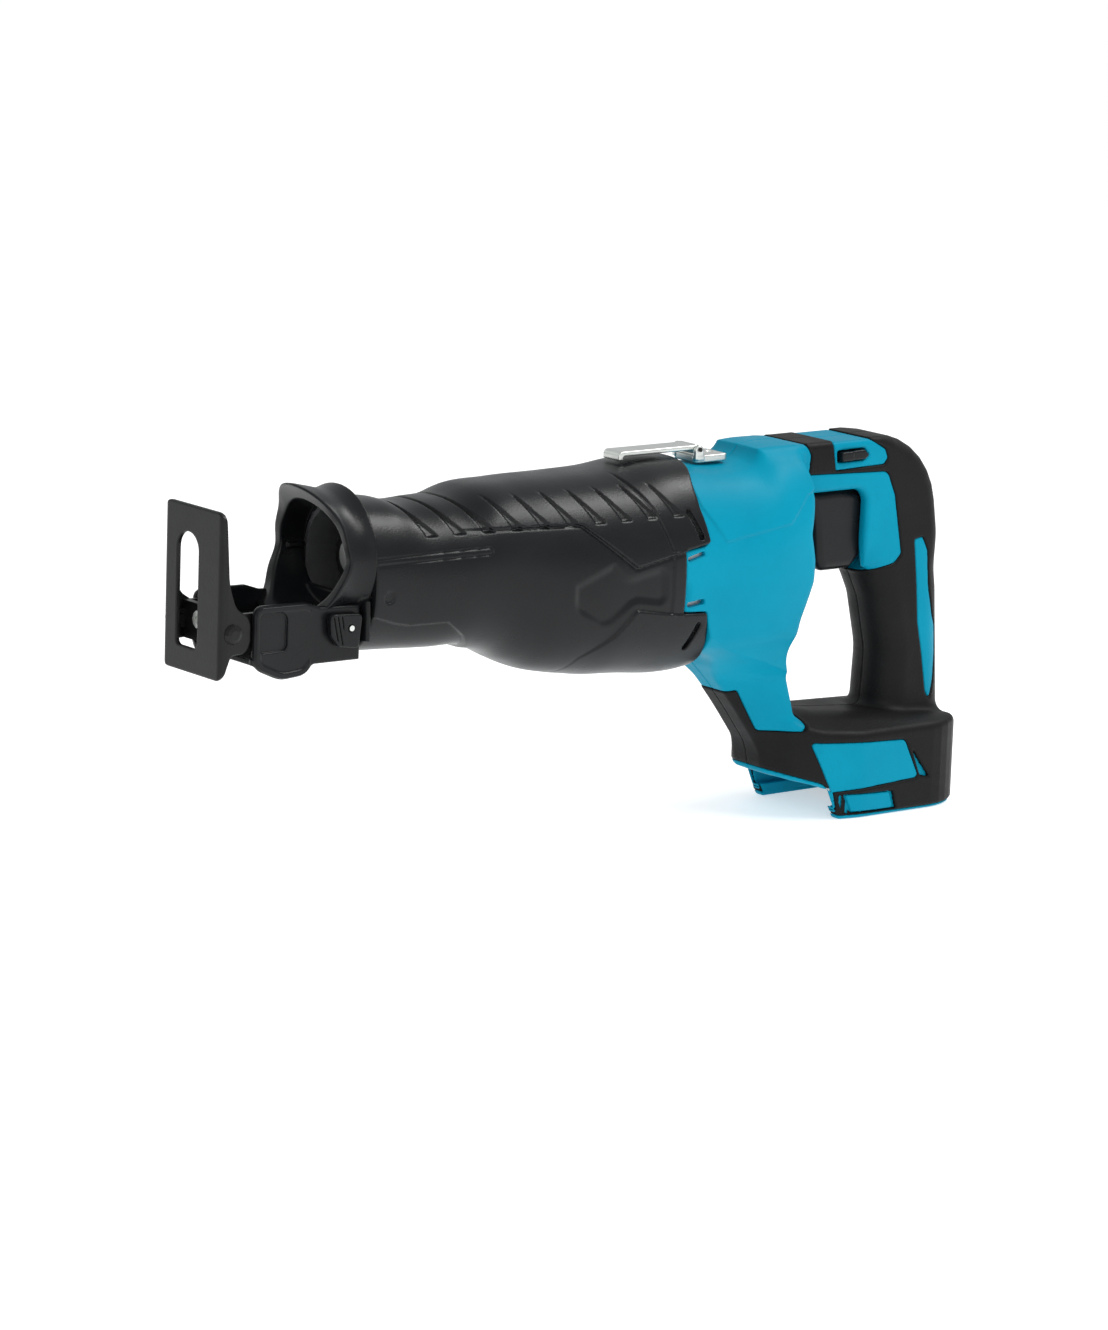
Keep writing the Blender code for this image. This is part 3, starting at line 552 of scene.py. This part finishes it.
def cavities(x, y, z):
    """Everything cut out of the body: cover seat, trigger well, battery slot, vents."""
    ay = np.abs(y)
    seat = -(COVER_SIDE(x, z) - COVER_GAP)
    seat = np.maximum(seat, -(x - 20))
    well = -np.maximum(TRIGGER_WELL(x, z), ay - TRIGGER_WELL_HALF)
    rail = np.maximum(box_distance(x, z, *RAIL_SLOT, 0.8), ay - RAIL_SLOT_HALF)
    throat = np.maximum(box_distance(x, z, *THROAT, 0.5), ay - THROAT_HALF)
    slots = np.minimum(vent(x, z, *UPPER_VENT, 1.25), vent(x, z, *LOWER_VENT, 1.4))
    slots = np.maximum(slots, VENT_FLOOR_Y - ay)
    button = np.maximum(BUTTON_SLOT(x, z) - 0.2, 4 - ay)
    return np.maximum.reduce([seat, well, -rail, -throat, -slots, -button])


INLAY = 1.7
PROUD = 0.45
SKIN_GAP = 0.2
SEAM = 0.06


def shell(x, y, z):
    """Left half of the hard shell, sunk where the rubber lies on it."""
    plain = body(x, y, z)
    mask = skin_region(x, z)
    sunk = smax(plain, -np.maximum(mask, -plain - INLAY), 0.4)
    cut = smax(sunk, cavities(x, y, z), 0.8)
    return smax(cut, y + SEAM, 0.5)


def rubber(x, y, z):
    """Left half of the rubber moulded over the shell."""
    plain = body(x, y, z)
    mask = skin_region(x, z) + SKIN_GAP
    sunken = np.minimum(FOOT_WINDOW(x, z), FOOT_WEDGE(x, z))
    proud = PROUD - 1.5 * (1 - ramp(sunken, -0.5, 0.2)) * ramp(np.abs(y), 24, 30)
    layer = smax(plain - proud, mask, 1.3)
    layer = np.maximum(layer, -plain - INLAY + 0.05)
    cut = smax(layer, cavities(x, y, z), 0.8)
    return smax(cut, y + SEAM, 0.4)


# Shoe: pressed plate with its sides bent back to the rivets.
SHOE_X = -247.0
SHEET = 2.5
SHOE_HALF = 26.0
PIVOT_X, PIVOT_Z = -240.0, 138.0
SHOE_SIDE = Plan(
    [
        (-247, 114.3, 1),
        (-245.2, 114.3, 1),
        (-243, 121, 4),
        (-240.5, 127.2, 3),
        (-232, 127.4, 5),
        (-229.2, 133, 7),
        (-229.2, 145, 8),
        (-238, 150.5, 9),
        (-242, 162, 30),
        (-244.3, 198.8, 1.4),
        (-247, 198.8, 1),
    ],
    step=0.25,
)
SHOE_FACE = Plan([(-26, 114, 6.5), (26, 114, 6.5), (26, 199, 6.5), (-26, 199, 6.5)], step=0.25)
SHOE_SLOT = Plan([(-4.5, 127, 3), (14, 127, 3), (14, 185, 9), (-4.5, 185, 9)], step=0.25)


def shoe(x, y, z):
    """Plate with a slot, its two sides bent back to the rivets."""
    ay = np.abs(y)
    outer = extruded(SHOE_SIDE(x, z), ay - SHOE_HALF, 0.7)
    corner = extruded(ay - SHOE_HALF, SHOE_X - x, 3.6)
    outer = np.maximum(outer, corner)
    outer = smax(outer, np.where(x < -243.5, SHOE_FACE(y, z), SHOE_FACE(y, z) - 2), 0.4)
    inner = extruded(ay - SHOE_HALF + SHEET, SHOE_X + SHEET - x, 1.4)
    sheet = smax(outer, -inner, 0.5)
    slot = SHOE_SLOT(y, z)
    sheet = smax(sheet, -np.maximum(slot, x + 243), 0.7)
    hole = np.hypot(x - PIVOT_X, z - PIVOT_Z) - 2.6
    return np.maximum(sheet, -np.maximum(hole, 15 - ay))


GUIDE_SIDE = Plan(
    [
        (-228.2, 151, 5),
        (-228.2, 119.5, 9),
        (-212, 112.2, 16),
        (-197.5, 113.4, 9),
        (-192.5, 118.6, 3),
        (-164.2, 118.4, 0),
        (-164.2, 146.5, 0),
        (-189, 147.5, 6),
        (-198, 150.5, 6),
    ],
    step=0.25,
)
GUIDE_WINDOW = Plan(
    [(-225.4, 147, 2), (-208.5, 146.4, 4), (-208.5, 127.5, 3), (-225.4, 127, 3)], step=0.25
)


LEVER_PIN_X, LEVER_PIN_Z = -173, 136
LEVER_PIN_R = 1.9


def shoe_guide(x, y, z):
    """Lobed cheeks under the nose and the floor between them."""
    ay = np.abs(y)
    cheek = extruded(GUIDE_SIDE(x, z), np.abs(ay - 26.1) - 1.9, 1.5)
    rim = np.maximum(np.abs(GUIDE_SIDE(x, z) + 2.2) - 1.3, np.abs(ay - 27.5) - 1.1)
    cheek = smin(cheek, np.maximum(rim, x + 195), 0.8)
    cheek = smax(cheek, -np.maximum(GUIDE_WINDOW(x, z), 26.4 - ay), 0.8)
    floor = extruded(box_distance(x, z, (-196.2, 122.5), (32, 1.5)), ay - 25, 0.5)
    made = smin(cheek, floor, 2)
    pin = np.maximum(np.hypot(x - LEVER_PIN_X, z - LEVER_PIN_Z) - LEVER_PIN_R, y + 20)
    return np.maximum(made, -pin)


LEVER_SIDE = Plan(
    [(-186, 144, 3), (-185, 133, 3), (-180, 127, 2.5), (-168, 125.2, 2), (-166, 142.8, 2.5)], step=0.25
)


def lever(x, y, z):
    """Small lever with ribs for the thumb."""
    flat = LEVER_SIDE(x, z)
    body_part = extruded(flat, np.abs(y + 30.4) - 2.1, 0.9)
    grip = np.abs(((x + 184) * 0.9 + (z - 138) * 0.2) % 2.2 - 1.1) - 0.35
    ribs = np.maximum(np.maximum(grip, x + 177.5), np.maximum(-32.6 - y, y + 31.6))
    body_part = smax(body_part, -np.maximum(ribs, flat + 1.2), 0.3)
    return np.maximum(body_part, -(np.hypot(x - LEVER_PIN_X, z - LEVER_PIN_Z) - LEVER_PIN_R))


TRIGGER_SIDE = Plan(
    [
        (142.2, 176.6, 3), (163, 177, 8), (180, 175, 7), (183.4, 158, 14), (181, 138, 5),
        (174, 132, 3), (153, 131.8, 5), (148.6, 140, 12), (146.4, 158, 24),
    ],
    step=0.25,
)


def trigger(x, y, z):
    """Paddle with a hollowed finger face."""
    across = np.abs(y) - 11.9
    side = TRIGGER_SIDE(x, z) + 0.9 * np.exp(-((y / 6.5) ** 2)) * ramp(-x, -164, -152) * 0.6
    return extruded(side, across, 5.2)


BUTTON_SIDE = Plan(
    [(155.6, 198.4, 1.4), (172.6, 198.8, 2), (176, 195.6, 1), (173.2, 193.6, 1.2), (156, 193.4, 1.4)],
    step=0.25,
)


def button(x, y, z):
    """Cross bar of the lock-off, with two facets on its near end."""
    near = -21.4 + 0.9 * ramp(x, 163.6, 165.0)
    far = 16.4
    ends = np.maximum(near - y, y - far)
    bar = extruded(BUTTON_SIDE(x, z), ends, 0.9)
    mark = np.maximum(np.abs(x - 164.2) - 0.3, near + 0.5 - y)
    return smax(bar, -np.maximum(mark, -(y - near)), 0.2)


HOOK_SIDE = Plan(
    [
        (14, 202.2, 0.8), (14, 207.1, 2.6), (66, 207.1, 0), (66, 204.4, 0),
        (17, 204.4, 1.2), (17, 202.2, 0.8),
    ], step=0.25
)


HOOK_PIN_X = 66
HOOK_HALF_WIDTH = 7
KNUCKLE_Z = 204.8
HOOK_LUG_Y = 8.7


def hook_seat(x, y, z):
    """Low plate screwed to the body, with a lug each side of the hook's pin."""
    ay = np.abs(y)
    plate = extruded(box_distance(x, y, (74.5, 0), (11, 9.8), 2.5), np.abs(z - 199.8) - 1.9, 0.6)
    lug_side = np.abs(ay - HOOK_LUG_Y) - 1.2
    lugs = extruded(np.hypot(x - HOOK_PIN_X, z - 204.4) - 2.7, lug_side, 0.4)
    stem = np.maximum(np.abs(x - HOOK_PIN_X) - 2.7, np.maximum(lug_side, np.abs(z - 202) - 2.4))
    made = smin(plate, smin(lugs, stem, 0.3), 0.8)
    for screw_x in (71.5, 81.0):
        seat = np.hypot(x - screw_x, y) - 2.6
        made = smax(made, -np.maximum(seat, 200.9 - z), 0.2)
    return made


def vent_shade_strip(x, y, z):
    """Dark strips in the floor of the vents, one on each side: painted shade standing in for the dark
    inside seen through the slits.
    """
    slots = np.minimum(vent(x, z, *UPPER_VENT, 2.2), vent(x, z, *LOWER_VENT, 2.3))
    return extruded(slots, np.abs(np.abs(y) - 40.6) - 1.6, 0.3)


def hook(x, y, z):
    """Folded belt hook: a bent strip with a knuckle round its pin."""
    ay = np.abs(y)
    from_pin = np.hypot(x - HOOK_PIN_X, z - KNUCKLE_Z)
    strip = extruded(HOOK_SIDE(x, z), ay - HOOK_HALF_WIDTH, 0.8)
    knuckle = extruded(from_pin - 2.6, ay - HOOK_HALF_WIDTH, 0.6)
    made = smin(strip, knuckle, 1.0)
    return np.maximum(made, -(from_pin - 1.4))


# Meshes from fields

BLOCK = 8  # cells along a block's side
BLOCKS_AT_ONCE = 1500
PULLS = 2  # times the vertices are pulled onto the field's zero level


def surface(field, low, high, step):
    """Vertices and faces of the zero level of a field, by surface nets on the blocks near it."""
    n = BLOCK
    low, high = np.array(low, float), np.array(high, float)
    size = n * step
    counts = np.ceil((high - low) / size).astype(int)
    grid = np.stack(np.meshgrid(*[np.arange(c) for c in counts], indexing="ij"), -1).reshape(-1, 3)
    middle = low + (grid + 0.5) * size
    near = np.abs(field(*middle.T)) < size * 1.5 + 1.0
    blocks = grid[near]
    total = counts * n + 1
    local = np.arange(n + 1)
    keys, places, quads = [], [], []
    corner = np.array([(i, j, k) for i in (0, 1) for j in (0, 1) for k in (0, 1)])
    edges = [(a, b) for a in range(8) for b in range(a) if np.abs(corner[a] - corner[b]).sum() == 1]

    def key(i, j, k):
        return (i * total[1] + j) * total[2] + k

    for start in range(0, len(blocks), BLOCKS_AT_ONCE):
        part = blocks[start : start + BLOCKS_AT_ONCE]
        base = part * n
        ix = base[:, 0, None, None, None] + local[None, :, None, None]
        iy = base[:, 1, None, None, None] + local[None, None, :, None]
        iz = base[:, 2, None, None, None] + local[None, None, None, :]
        shape = (len(part), n + 1, n + 1, n + 1)
        ix, iy, iz = (np.broadcast_to(i, shape) for i in (ix, iy, iz))
        f = field(
            (low[0] + ix * step).ravel(), (low[1] + iy * step).ravel(), (low[2] + iz * step).ravel()
        ).reshape(shape)
        f = np.where(f == 0, 1e-9, f)
        inside = f < 0
        cells = [inside[:, a : a + n, b : b + n, c : c + n] for a, b, c in corner]
        count = np.sum(cells, axis=0, dtype=np.int8)
        b, i, j, k = np.nonzero((count > 0) & (count < 8))
        values = np.stack([f[b, i + a, j + c, k + d] for a, c, d in corner], 1)
        total_at = np.zeros((len(b), 3))
        crossings = np.zeros(len(b))
        for p, q in edges:
            fp, fq = values[:, p], values[:, q]
            hit = (fp < 0) != (fq < 0)
            t = np.where(hit, fp / np.where(hit, fp - fq, 1), 0)
            at = corner[p] + t[:, None] * (corner[q] - corner[p])
            total_at += at * hit[:, None]
            crossings += hit
        cell = np.stack([ix[b, i, j, k], iy[b, i, j, k], iz[b, i, j, k]], 1)
        keys.append(key(*cell.T))
        places.append(low + (cell + total_at / crossings[:, None]) * step)
        for axis in range(3):
            ahead = [slice(0, n)] * 3
            ahead[axis] = slice(1, n + 1)
            here = inside[:, :n, :n, :n]
            there = inside[(slice(None), *ahead)]
            b, i, j, k = np.nonzero(here != there)
            sign = here[b, i, j, k]
            cell = np.stack([ix[b, i, j, k], iy[b, i, j, k], iz[b, i, j, k]], 1)
            u, v = [a for a in range(3) if a != axis]
            if axis == 1:
                u, v = v, u
            around = []
            for du, dv in ((0, 0), (-1, 0), (-1, -1), (0, -1)):
                other = cell.copy()
                other[:, u] += du
                other[:, v] += dv
                around.append(key(*other.T))
            quad = np.stack(around, 1)
            quad[~sign] = quad[~sign][:, ::-1]
            quads.append(quad)
    keys, places = np.concatenate(keys), np.concatenate(places)
    order = np.argsort(keys)
    keys, places = keys[order], places[order]
    quads = np.concatenate(quads)
    index = np.searchsorted(keys, quads)
    index = np.minimum(index, len(keys) - 1)
    whole = (keys[index] == quads).all(1)
    faces = index[whole]
    for _ in range(PULLS):
        h = step * 0.2
        x, y, z = places.T
        f = field(x, y, z)
        g = np.stack(
            [
                field(x + h, y, z) - field(x - h, y, z),
                field(x, y + h, z) - field(x, y - h, z),
                field(x, y, z + h) - field(x, y, z - h),
            ],
            1,
        ) / (2 * h)
        move = -f[:, None] * g / np.maximum((g * g).sum(1), 0.05)[:, None]
        length = np.linalg.norm(move, axis=1)
        move *= (np.minimum(length, step * 0.6) / np.maximum(length, 1e-9))[:, None]
        places = places + move
    return places, faces


def mesh_object(name, places, faces, finish):
    """A smooth mesh object from vertices in millimetres."""
    mesh = bpy.data.meshes.new(name)
    mesh.vertices.add(len(places))
    mesh.vertices.foreach_set("co", (places * MM).astype(np.float32).ravel())
    mesh.loops.add(faces.size)
    mesh.loops.foreach_set("vertex_index", faces.astype(np.int32).ravel())
    mesh.polygons.add(len(faces))
    mesh.polygons.foreach_set("loop_start", np.arange(len(faces), dtype=np.int32) * faces.shape[1])
    mesh.update(calc_edges=True)
    mesh.validate()
    mesh.shade_smooth()
    mesh.materials.append(finish)
    made = bpy.data.objects.new(name, mesh)
    bpy.context.scene.collection.objects.link(made)
    return made


# Materials


def tree_of(name, color, roughness, metallic=0.0):
    """A material, its node tree and its shader."""
    made = bpy.data.materials.new(name)
    made.use_nodes = True
    tree = made.node_tree
    bsdf = tree.nodes["Principled BSDF"]
    bsdf.inputs["Base Color"].default_value = (*color, 1)
    bsdf.inputs["Roughness"].default_value = roughness
    bsdf.inputs["Metallic"].default_value = metallic
    return made, tree, bsdf


def noise(tree, scale, detail=3.0, stretch=(1, 1, 1)):
    """Cloudy pattern from 0 to 1."""
    where = tree.nodes.new("ShaderNodeTexCoord")
    mapping = tree.nodes.new("ShaderNodeMapping")
    mapping.inputs["Scale"].default_value = stretch
    made = tree.nodes.new("ShaderNodeTexNoise")
    made.inputs["Scale"].default_value = scale
    made.inputs["Detail"].default_value = detail
    tree.links.new(where.outputs["Object"], mapping.inputs["Vector"])
    tree.links.new(mapping.outputs["Vector"], made.inputs["Vector"])
    return made.outputs["Fac"]


def cells(tree, scale):
    """Pattern of small cells."""
    where = tree.nodes.new("ShaderNodeTexCoord")
    made = tree.nodes.new("ShaderNodeTexVoronoi")
    made.inputs["Scale"].default_value = scale
    tree.links.new(where.outputs["Object"], made.inputs["Vector"])
    return made.outputs["Distance"]


def spread(tree, value, low, high):
    """value from 0..1 to low..high."""
    made = tree.nodes.new("ShaderNodeMapRange")
    made.inputs["To Min"].default_value = low
    made.inputs["To Max"].default_value = high
    tree.links.new(value, made.inputs["Value"])
    return made.outputs["Result"]


def tint(tree, value, dark, light):
    """value from 0..1 to a colour between dark and light."""
    made = tree.nodes.new("ShaderNodeMix")
    made.data_type = "RGBA"
    made.inputs["A"].default_value = (*dark, 1)
    made.inputs["B"].default_value = (*light, 1)
    tree.links.new(value, made.inputs["Factor"])
    return made.outputs["Result"]


def bumps(tree, bsdf, layers):
    """Bump from (height, distance in metres) layers, one on top of the other."""
    normal = None
    for height, depth in layers:
        made = tree.nodes.new("ShaderNodeBump")
        made.inputs["Strength"].default_value = 1.0
        made.inputs["Distance"].default_value = depth
        tree.links.new(height, made.inputs["Height"])
        if normal:
            tree.links.new(normal, made.inputs["Normal"])
        normal = made.outputs["Normal"]
    tree.links.new(normal, bsdf.inputs["Normal"])


def moulded(name, dark, light, roughness, grain_scale, grain_depth, sheen=0.0, specular=0.5, coat=0.0):
    """Plastic or rubber with a fine grain, and gloss and colour that vary a little."""
    made, tree, bsdf = tree_of(name, dark, roughness)
    broad = noise(tree, 22, 4)
    tree.links.new(tint(tree, spread(tree, broad, -0.4, 1.4), dark, light), bsdf.inputs["Base Color"])
    scuffs = noise(tree, 60, 6, (1, 1, 2.5))
    tree.links.new(spread(tree, scuffs, roughness - 0.09, roughness + 0.09), bsdf.inputs["Roughness"])
    grain = noise(tree, grain_scale, 2)
    pits = cells(tree, grain_scale * 0.6)
    bumps(tree, bsdf, [(grain, grain_depth), (pits, grain_depth * 0.7)])
    bsdf.inputs["Sheen Weight"].default_value = sheen
    bsdf.inputs["Sheen Roughness"].default_value = 0.4
    bsdf.inputs["Specular IOR Level"].default_value = specular
    bsdf.inputs["Coat Weight"].default_value = coat
    bsdf.inputs["Coat Roughness"].default_value = 0.3
    return made


def metal(name, dark, light, roughness, stretch, scale=220, depth=0.00002, metallic=1.0, coat=0.0):
    """Metal with drawn or ground lines along its length."""
    made, tree, bsdf = tree_of(name, dark, roughness, metallic)
    lines = noise(tree, scale, 5, stretch)
    patches = noise(tree, 40, 3)
    tree.links.new(tint(tree, patches, dark, light), bsdf.inputs["Base Color"])
    tree.links.new(spread(tree, lines, roughness - 0.08, roughness + 0.1), bsdf.inputs["Roughness"])
    bumps(tree, bsdf, [(lines, depth)])
    bsdf.inputs["Coat Weight"].default_value = coat
    return made


def make_materials():
    """Every finish, by the name of the slot that it goes in."""
    return {
        "teal_plastic": moulded(
            "teal_plastic", (0.0002, 0.225, 0.345), (
                0.0006, 0.275, 0.41
            ), 0.42, 1500, 0.00005, specular=0.06
        ),
        "black_elastomer": moulded(
            "black_elastomer", (0.0042, 0.0040, 0.0040), (
                0.0085, 0.0082, 0.0082
            ), 0.50, 1100, 0.00008, sheen=0.0, specular=0.14
        ),
        "black_plastic": moulded(
            "black_plastic", (0.0035, 0.0038, 0.0044), (
                0.0075, 0.0082, 0.0092
            ), 0.30, 1700, 0.00004, specular=0.22
        ),
        "black_steel": moulded(
            "black_steel", (0.0045, 0.0045, 0.0048), (
                0.008, 0.008, 0.0085
            ), 0.34, 700, 0.00004, specular=0.22, coat=0.04
        ),
        "bright_steel": metal(
            "bright_steel", (0.62, 0.64, 0.61), (0.74, 0.76, 0.73), 0.34, (0.05, 1, 1)
        ),
        "cast_aluminium": metal(
            "cast_aluminium", (0.40, 0.41, 0.42), (0.52, 0.53, 0.54), 0.5, (1, 1, 1), 500, 0.00008
        ),
        "bronze": metal("bronze", (0.42, 0.25, 0.10), (0.52, 0.33, 0.15), 0.38, (0.2, 1, 1)),
        "copper": metal("copper", (0.52, 0.20, 0.09), (0.66, 0.29, 0.15), 0.35, (1, 1, 0.1), 300),
        "board_green": moulded(
            "board_green", (0.004, 0.05, 0.02), (0.008, 0.09, 0.035), 0.4, 600, 0.00002
        ),
        "lamination": metal(
            "lamination", (0.10, 0.10, 0.11), (0.20, 0.20, 0.21), 0.45, (6, 0.1, 0.1), 400, 0.00005
        ),
    }


# Pieces


def piece(name, field, low, high, step, body, slot, *nodes, mirror=False):
    """A visible piece that rides on a body and stands in for CAD nodes."""
    places, faces = surface(field, low, high, step)
    if mirror:
        places = places * np.array([1, -1, 1])
        faces = faces[:, ::-1]
    made = mesh_object(name, places, faces, materials[slot])
    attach(made, body)
    if nodes:
        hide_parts(*nodes)
    return made


SCREW_HOLE_R = 4.8
SCREW_SEAT = 6.0


def with_screw_holes(field):
    """The right half, seen as its mirror image, has the screws' counterbores."""

    def made(x, y, z):
        shape = field(x, y, z)
        for node in screw_nodes:
            low, high = (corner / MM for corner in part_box(node))
            middle = (low + high) / 2
            hole = np.hypot(x - middle.x, z - middle.z) - SCREW_HOLE_R
            shape = smax(shape, -np.maximum(hole, y + low.y + SCREW_SEAT), 0.4)
        return shape

    return made


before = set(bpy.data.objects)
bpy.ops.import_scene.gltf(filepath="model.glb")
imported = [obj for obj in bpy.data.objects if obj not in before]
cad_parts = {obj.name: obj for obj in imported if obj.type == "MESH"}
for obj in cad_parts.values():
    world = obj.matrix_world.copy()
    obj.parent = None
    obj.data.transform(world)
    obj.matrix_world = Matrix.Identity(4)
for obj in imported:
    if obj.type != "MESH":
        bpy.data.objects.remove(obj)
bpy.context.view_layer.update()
materials = make_materials()
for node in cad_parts.values():
    for index, given in enumerate(node.material_slots):
        name = given.material.name.split(".")[0] if given.material else ""
        node.material_slots[index].material = materials.get(name, materials["black_plastic"])
for name in ("shoe_rivet_left", "shoe_rivet_right"):
    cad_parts[name].material_slots[0].material = materials["black_steel"]
screw_nodes = [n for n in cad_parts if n.startswith("housing_screw")]

BODY_LOW, BODY_HIGH = (20, -50, -3), (250, 2, 212)
fine = 0.8
small = 0.45
piece("housing_shell_left", shell, BODY_LOW, BODY_HIGH, fine, "housing", "teal_plastic", "housing_left")
piece(
    "housing_shell_right", with_screw_holes(
        shell
    ), BODY_LOW, BODY_HIGH, fine, "housing", "teal_plastic", "housing_right", mirror=True
)
piece(
    "grip_rubber_left",
    rubber,
    BODY_LOW,
    BODY_HIGH,
    fine,
    "housing",
    "black_elastomer",
    "grip_overmold_left",
)
piece(
    "grip_rubber_right", with_screw_holes(
        rubber
    ), BODY_LOW, BODY_HIGH, fine, "housing", "black_elastomer", "grip_overmold_right", mirror=True
)
piece(
    "cover_shell",
    cover,
    (-163, -50, 82),
    (56, 50, 206),
    fine,
    "housing",
    "black_plastic",
    "barrel_cover",
)
piece(
    "nose_hood",
    nose_guard,
    (-195, -40, 128),
    (-158, 40, 208),
    small * 1.3,
    "housing",
    "black_plastic",
    "nose_guard",
)
piece("shoe_plate", shoe, (-249, -28, 112), (-226, 28, 201), small, "shoe", "black_steel", "shoe")
piece(
    "guide_cheeks",
    shoe_guide,
    (-232, -31, 109),
    (-162, 31, 154),
    small,
    "housing",
    "black_plastic",
    "shoe_guide",
)
piece(
    "lock_lever",
    lever,
    (-188, -34, 123),
    (-164, -27, 146),
    small,
    "shoe_lock_lever",
    "black_plastic",
    "shoe_lock_lever",
)
piece(
    "trigger_paddle",
    trigger,
    (140, -13, 129),
    (180, 13, 177),
    small,
    "trigger",
    "black_plastic",
    "trigger",
)
piece(
    "lock_off_bar",
    button,
    (152, -23, 191),
    (179, 18, 201),
    small,
    "lock_off_button",
    "black_plastic",
    "lock_off_button",
)
piece(
    "hook_seat",
    hook_seat,
    (62, -16, 196),
    (88, 16, 209),
    small,
    "housing",
    "bright_steel",
    "hook_bracket",
)
# Black strips in the vent slots are painted shade for the dark inside of the housing.
piece("vent_painted_shade", vent_shade_strip, (28, -44, 127), (46, 44, 161), fine, "housing", "black_plastic")
piece("belt_hook", hook, (11, -14, 199), (71, 14, 209), small, "hook", "bright_steel", "hook")

# Camera, lights and floor


def look_from(where, at, roll=0.0):
    """Placement of a camera or light at one point that looks at another."""
    back = (Vector(where) - Vector(at)).normalized()
    right = Vector((0, 0, 1)).cross(back).normalized()
    up = back.cross(right)
    c, s = math.cos(roll), math.sin(roll)
    right, up = right * c + up * s, up * c - right * s
    turn = Matrix((right, up, back)).transposed().to_4x4()
    return Matrix.Translation(Vector(where)) @ turn


def area(name, where, at, size, watts):
    """A soft rectangular light."""
    light = bpy.data.lights.new(name, "AREA")
    light.shape = "RECTANGLE"
    light.size, light.size_y = size
    light.energy = watts
    made = bpy.data.objects.new(name, light)
    made.matrix_world = look_from(where, at)
    bpy.context.scene.collection.objects.link(made)


CAMERA_AZIMUTH = math.radians(38.1)
CAMERA_RISE = math.radians(11.7)
CAMERA_ROLL = math.radians(2.0)
CAMERA_DISTANCE = 2.714
CAMERA_AT = Vector((-0.01886, 0, 0.09594))
camera_data = bpy.data.cameras.new("camera")
camera_data.lens = 140.75
camera_data.sensor_width = 36
camera_data.sensor_fit = "AUTO"
camera = bpy.data.objects.new("camera", camera_data)
bpy.context.scene.collection.objects.link(camera)
toward = Vector(
    (
        -math.sin(CAMERA_AZIMUTH) * math.cos(CAMERA_RISE),
        -math.cos(CAMERA_AZIMUTH) * math.cos(CAMERA_RISE),
        math.sin(CAMERA_RISE),
    )
)
camera.matrix_world = look_from(CAMERA_AT + toward * CAMERA_DISTANCE, CAMERA_AT, CAMERA_ROLL)
bpy.context.scene.camera = camera

area("strip", (0.75, -0.50, 1.35), (-0.06, 0, 0.15), (1.5, 0.30), 15)
area("side", (-0.75, -1.15, 0.70), (-0.04, 0, 0.14), (1.3, 0.8), 5)
area("rim", (-0.2, 1.6, 0.8), (0, 0, 0.12), (1.6, 0.6), 2)

world = bpy.data.worlds.new("studio")
bpy.context.scene.world = world
world.use_nodes = True
world.node_tree.nodes["Background"].inputs["Color"].default_value = (0.97, 0.985, 1.0, 1)
world.node_tree.nodes["Background"].inputs["Strength"].default_value = 0.6
bpy.context.scene.view_settings.view_transform = "Standard"

FLOOR_REACH = 6.0
floor_mesh = bpy.data.meshes.new("floor")
floor_corners = [(u * FLOOR_REACH, v * FLOOR_REACH, 0) for u, v in ((-1, -1), (1, -1), (1, 1), (-1, 1))]
floor_mesh.from_pydata(floor_corners, [], [(0, 1, 2, 3)])
floor = bpy.data.objects.new("floor", floor_mesh)
bpy.context.scene.collection.objects.link(floor)
floor_look, _, floor_bsdf = tree_of("floor_look", (0.86, 0.86, 0.86), 0.65)
floor_bsdf.inputs["Emission Color"].default_value = (1, 1, 1, 1)
floor_bsdf.inputs["Emission Strength"].default_value = 0.5
floor_mesh.materials.append(floor_look)
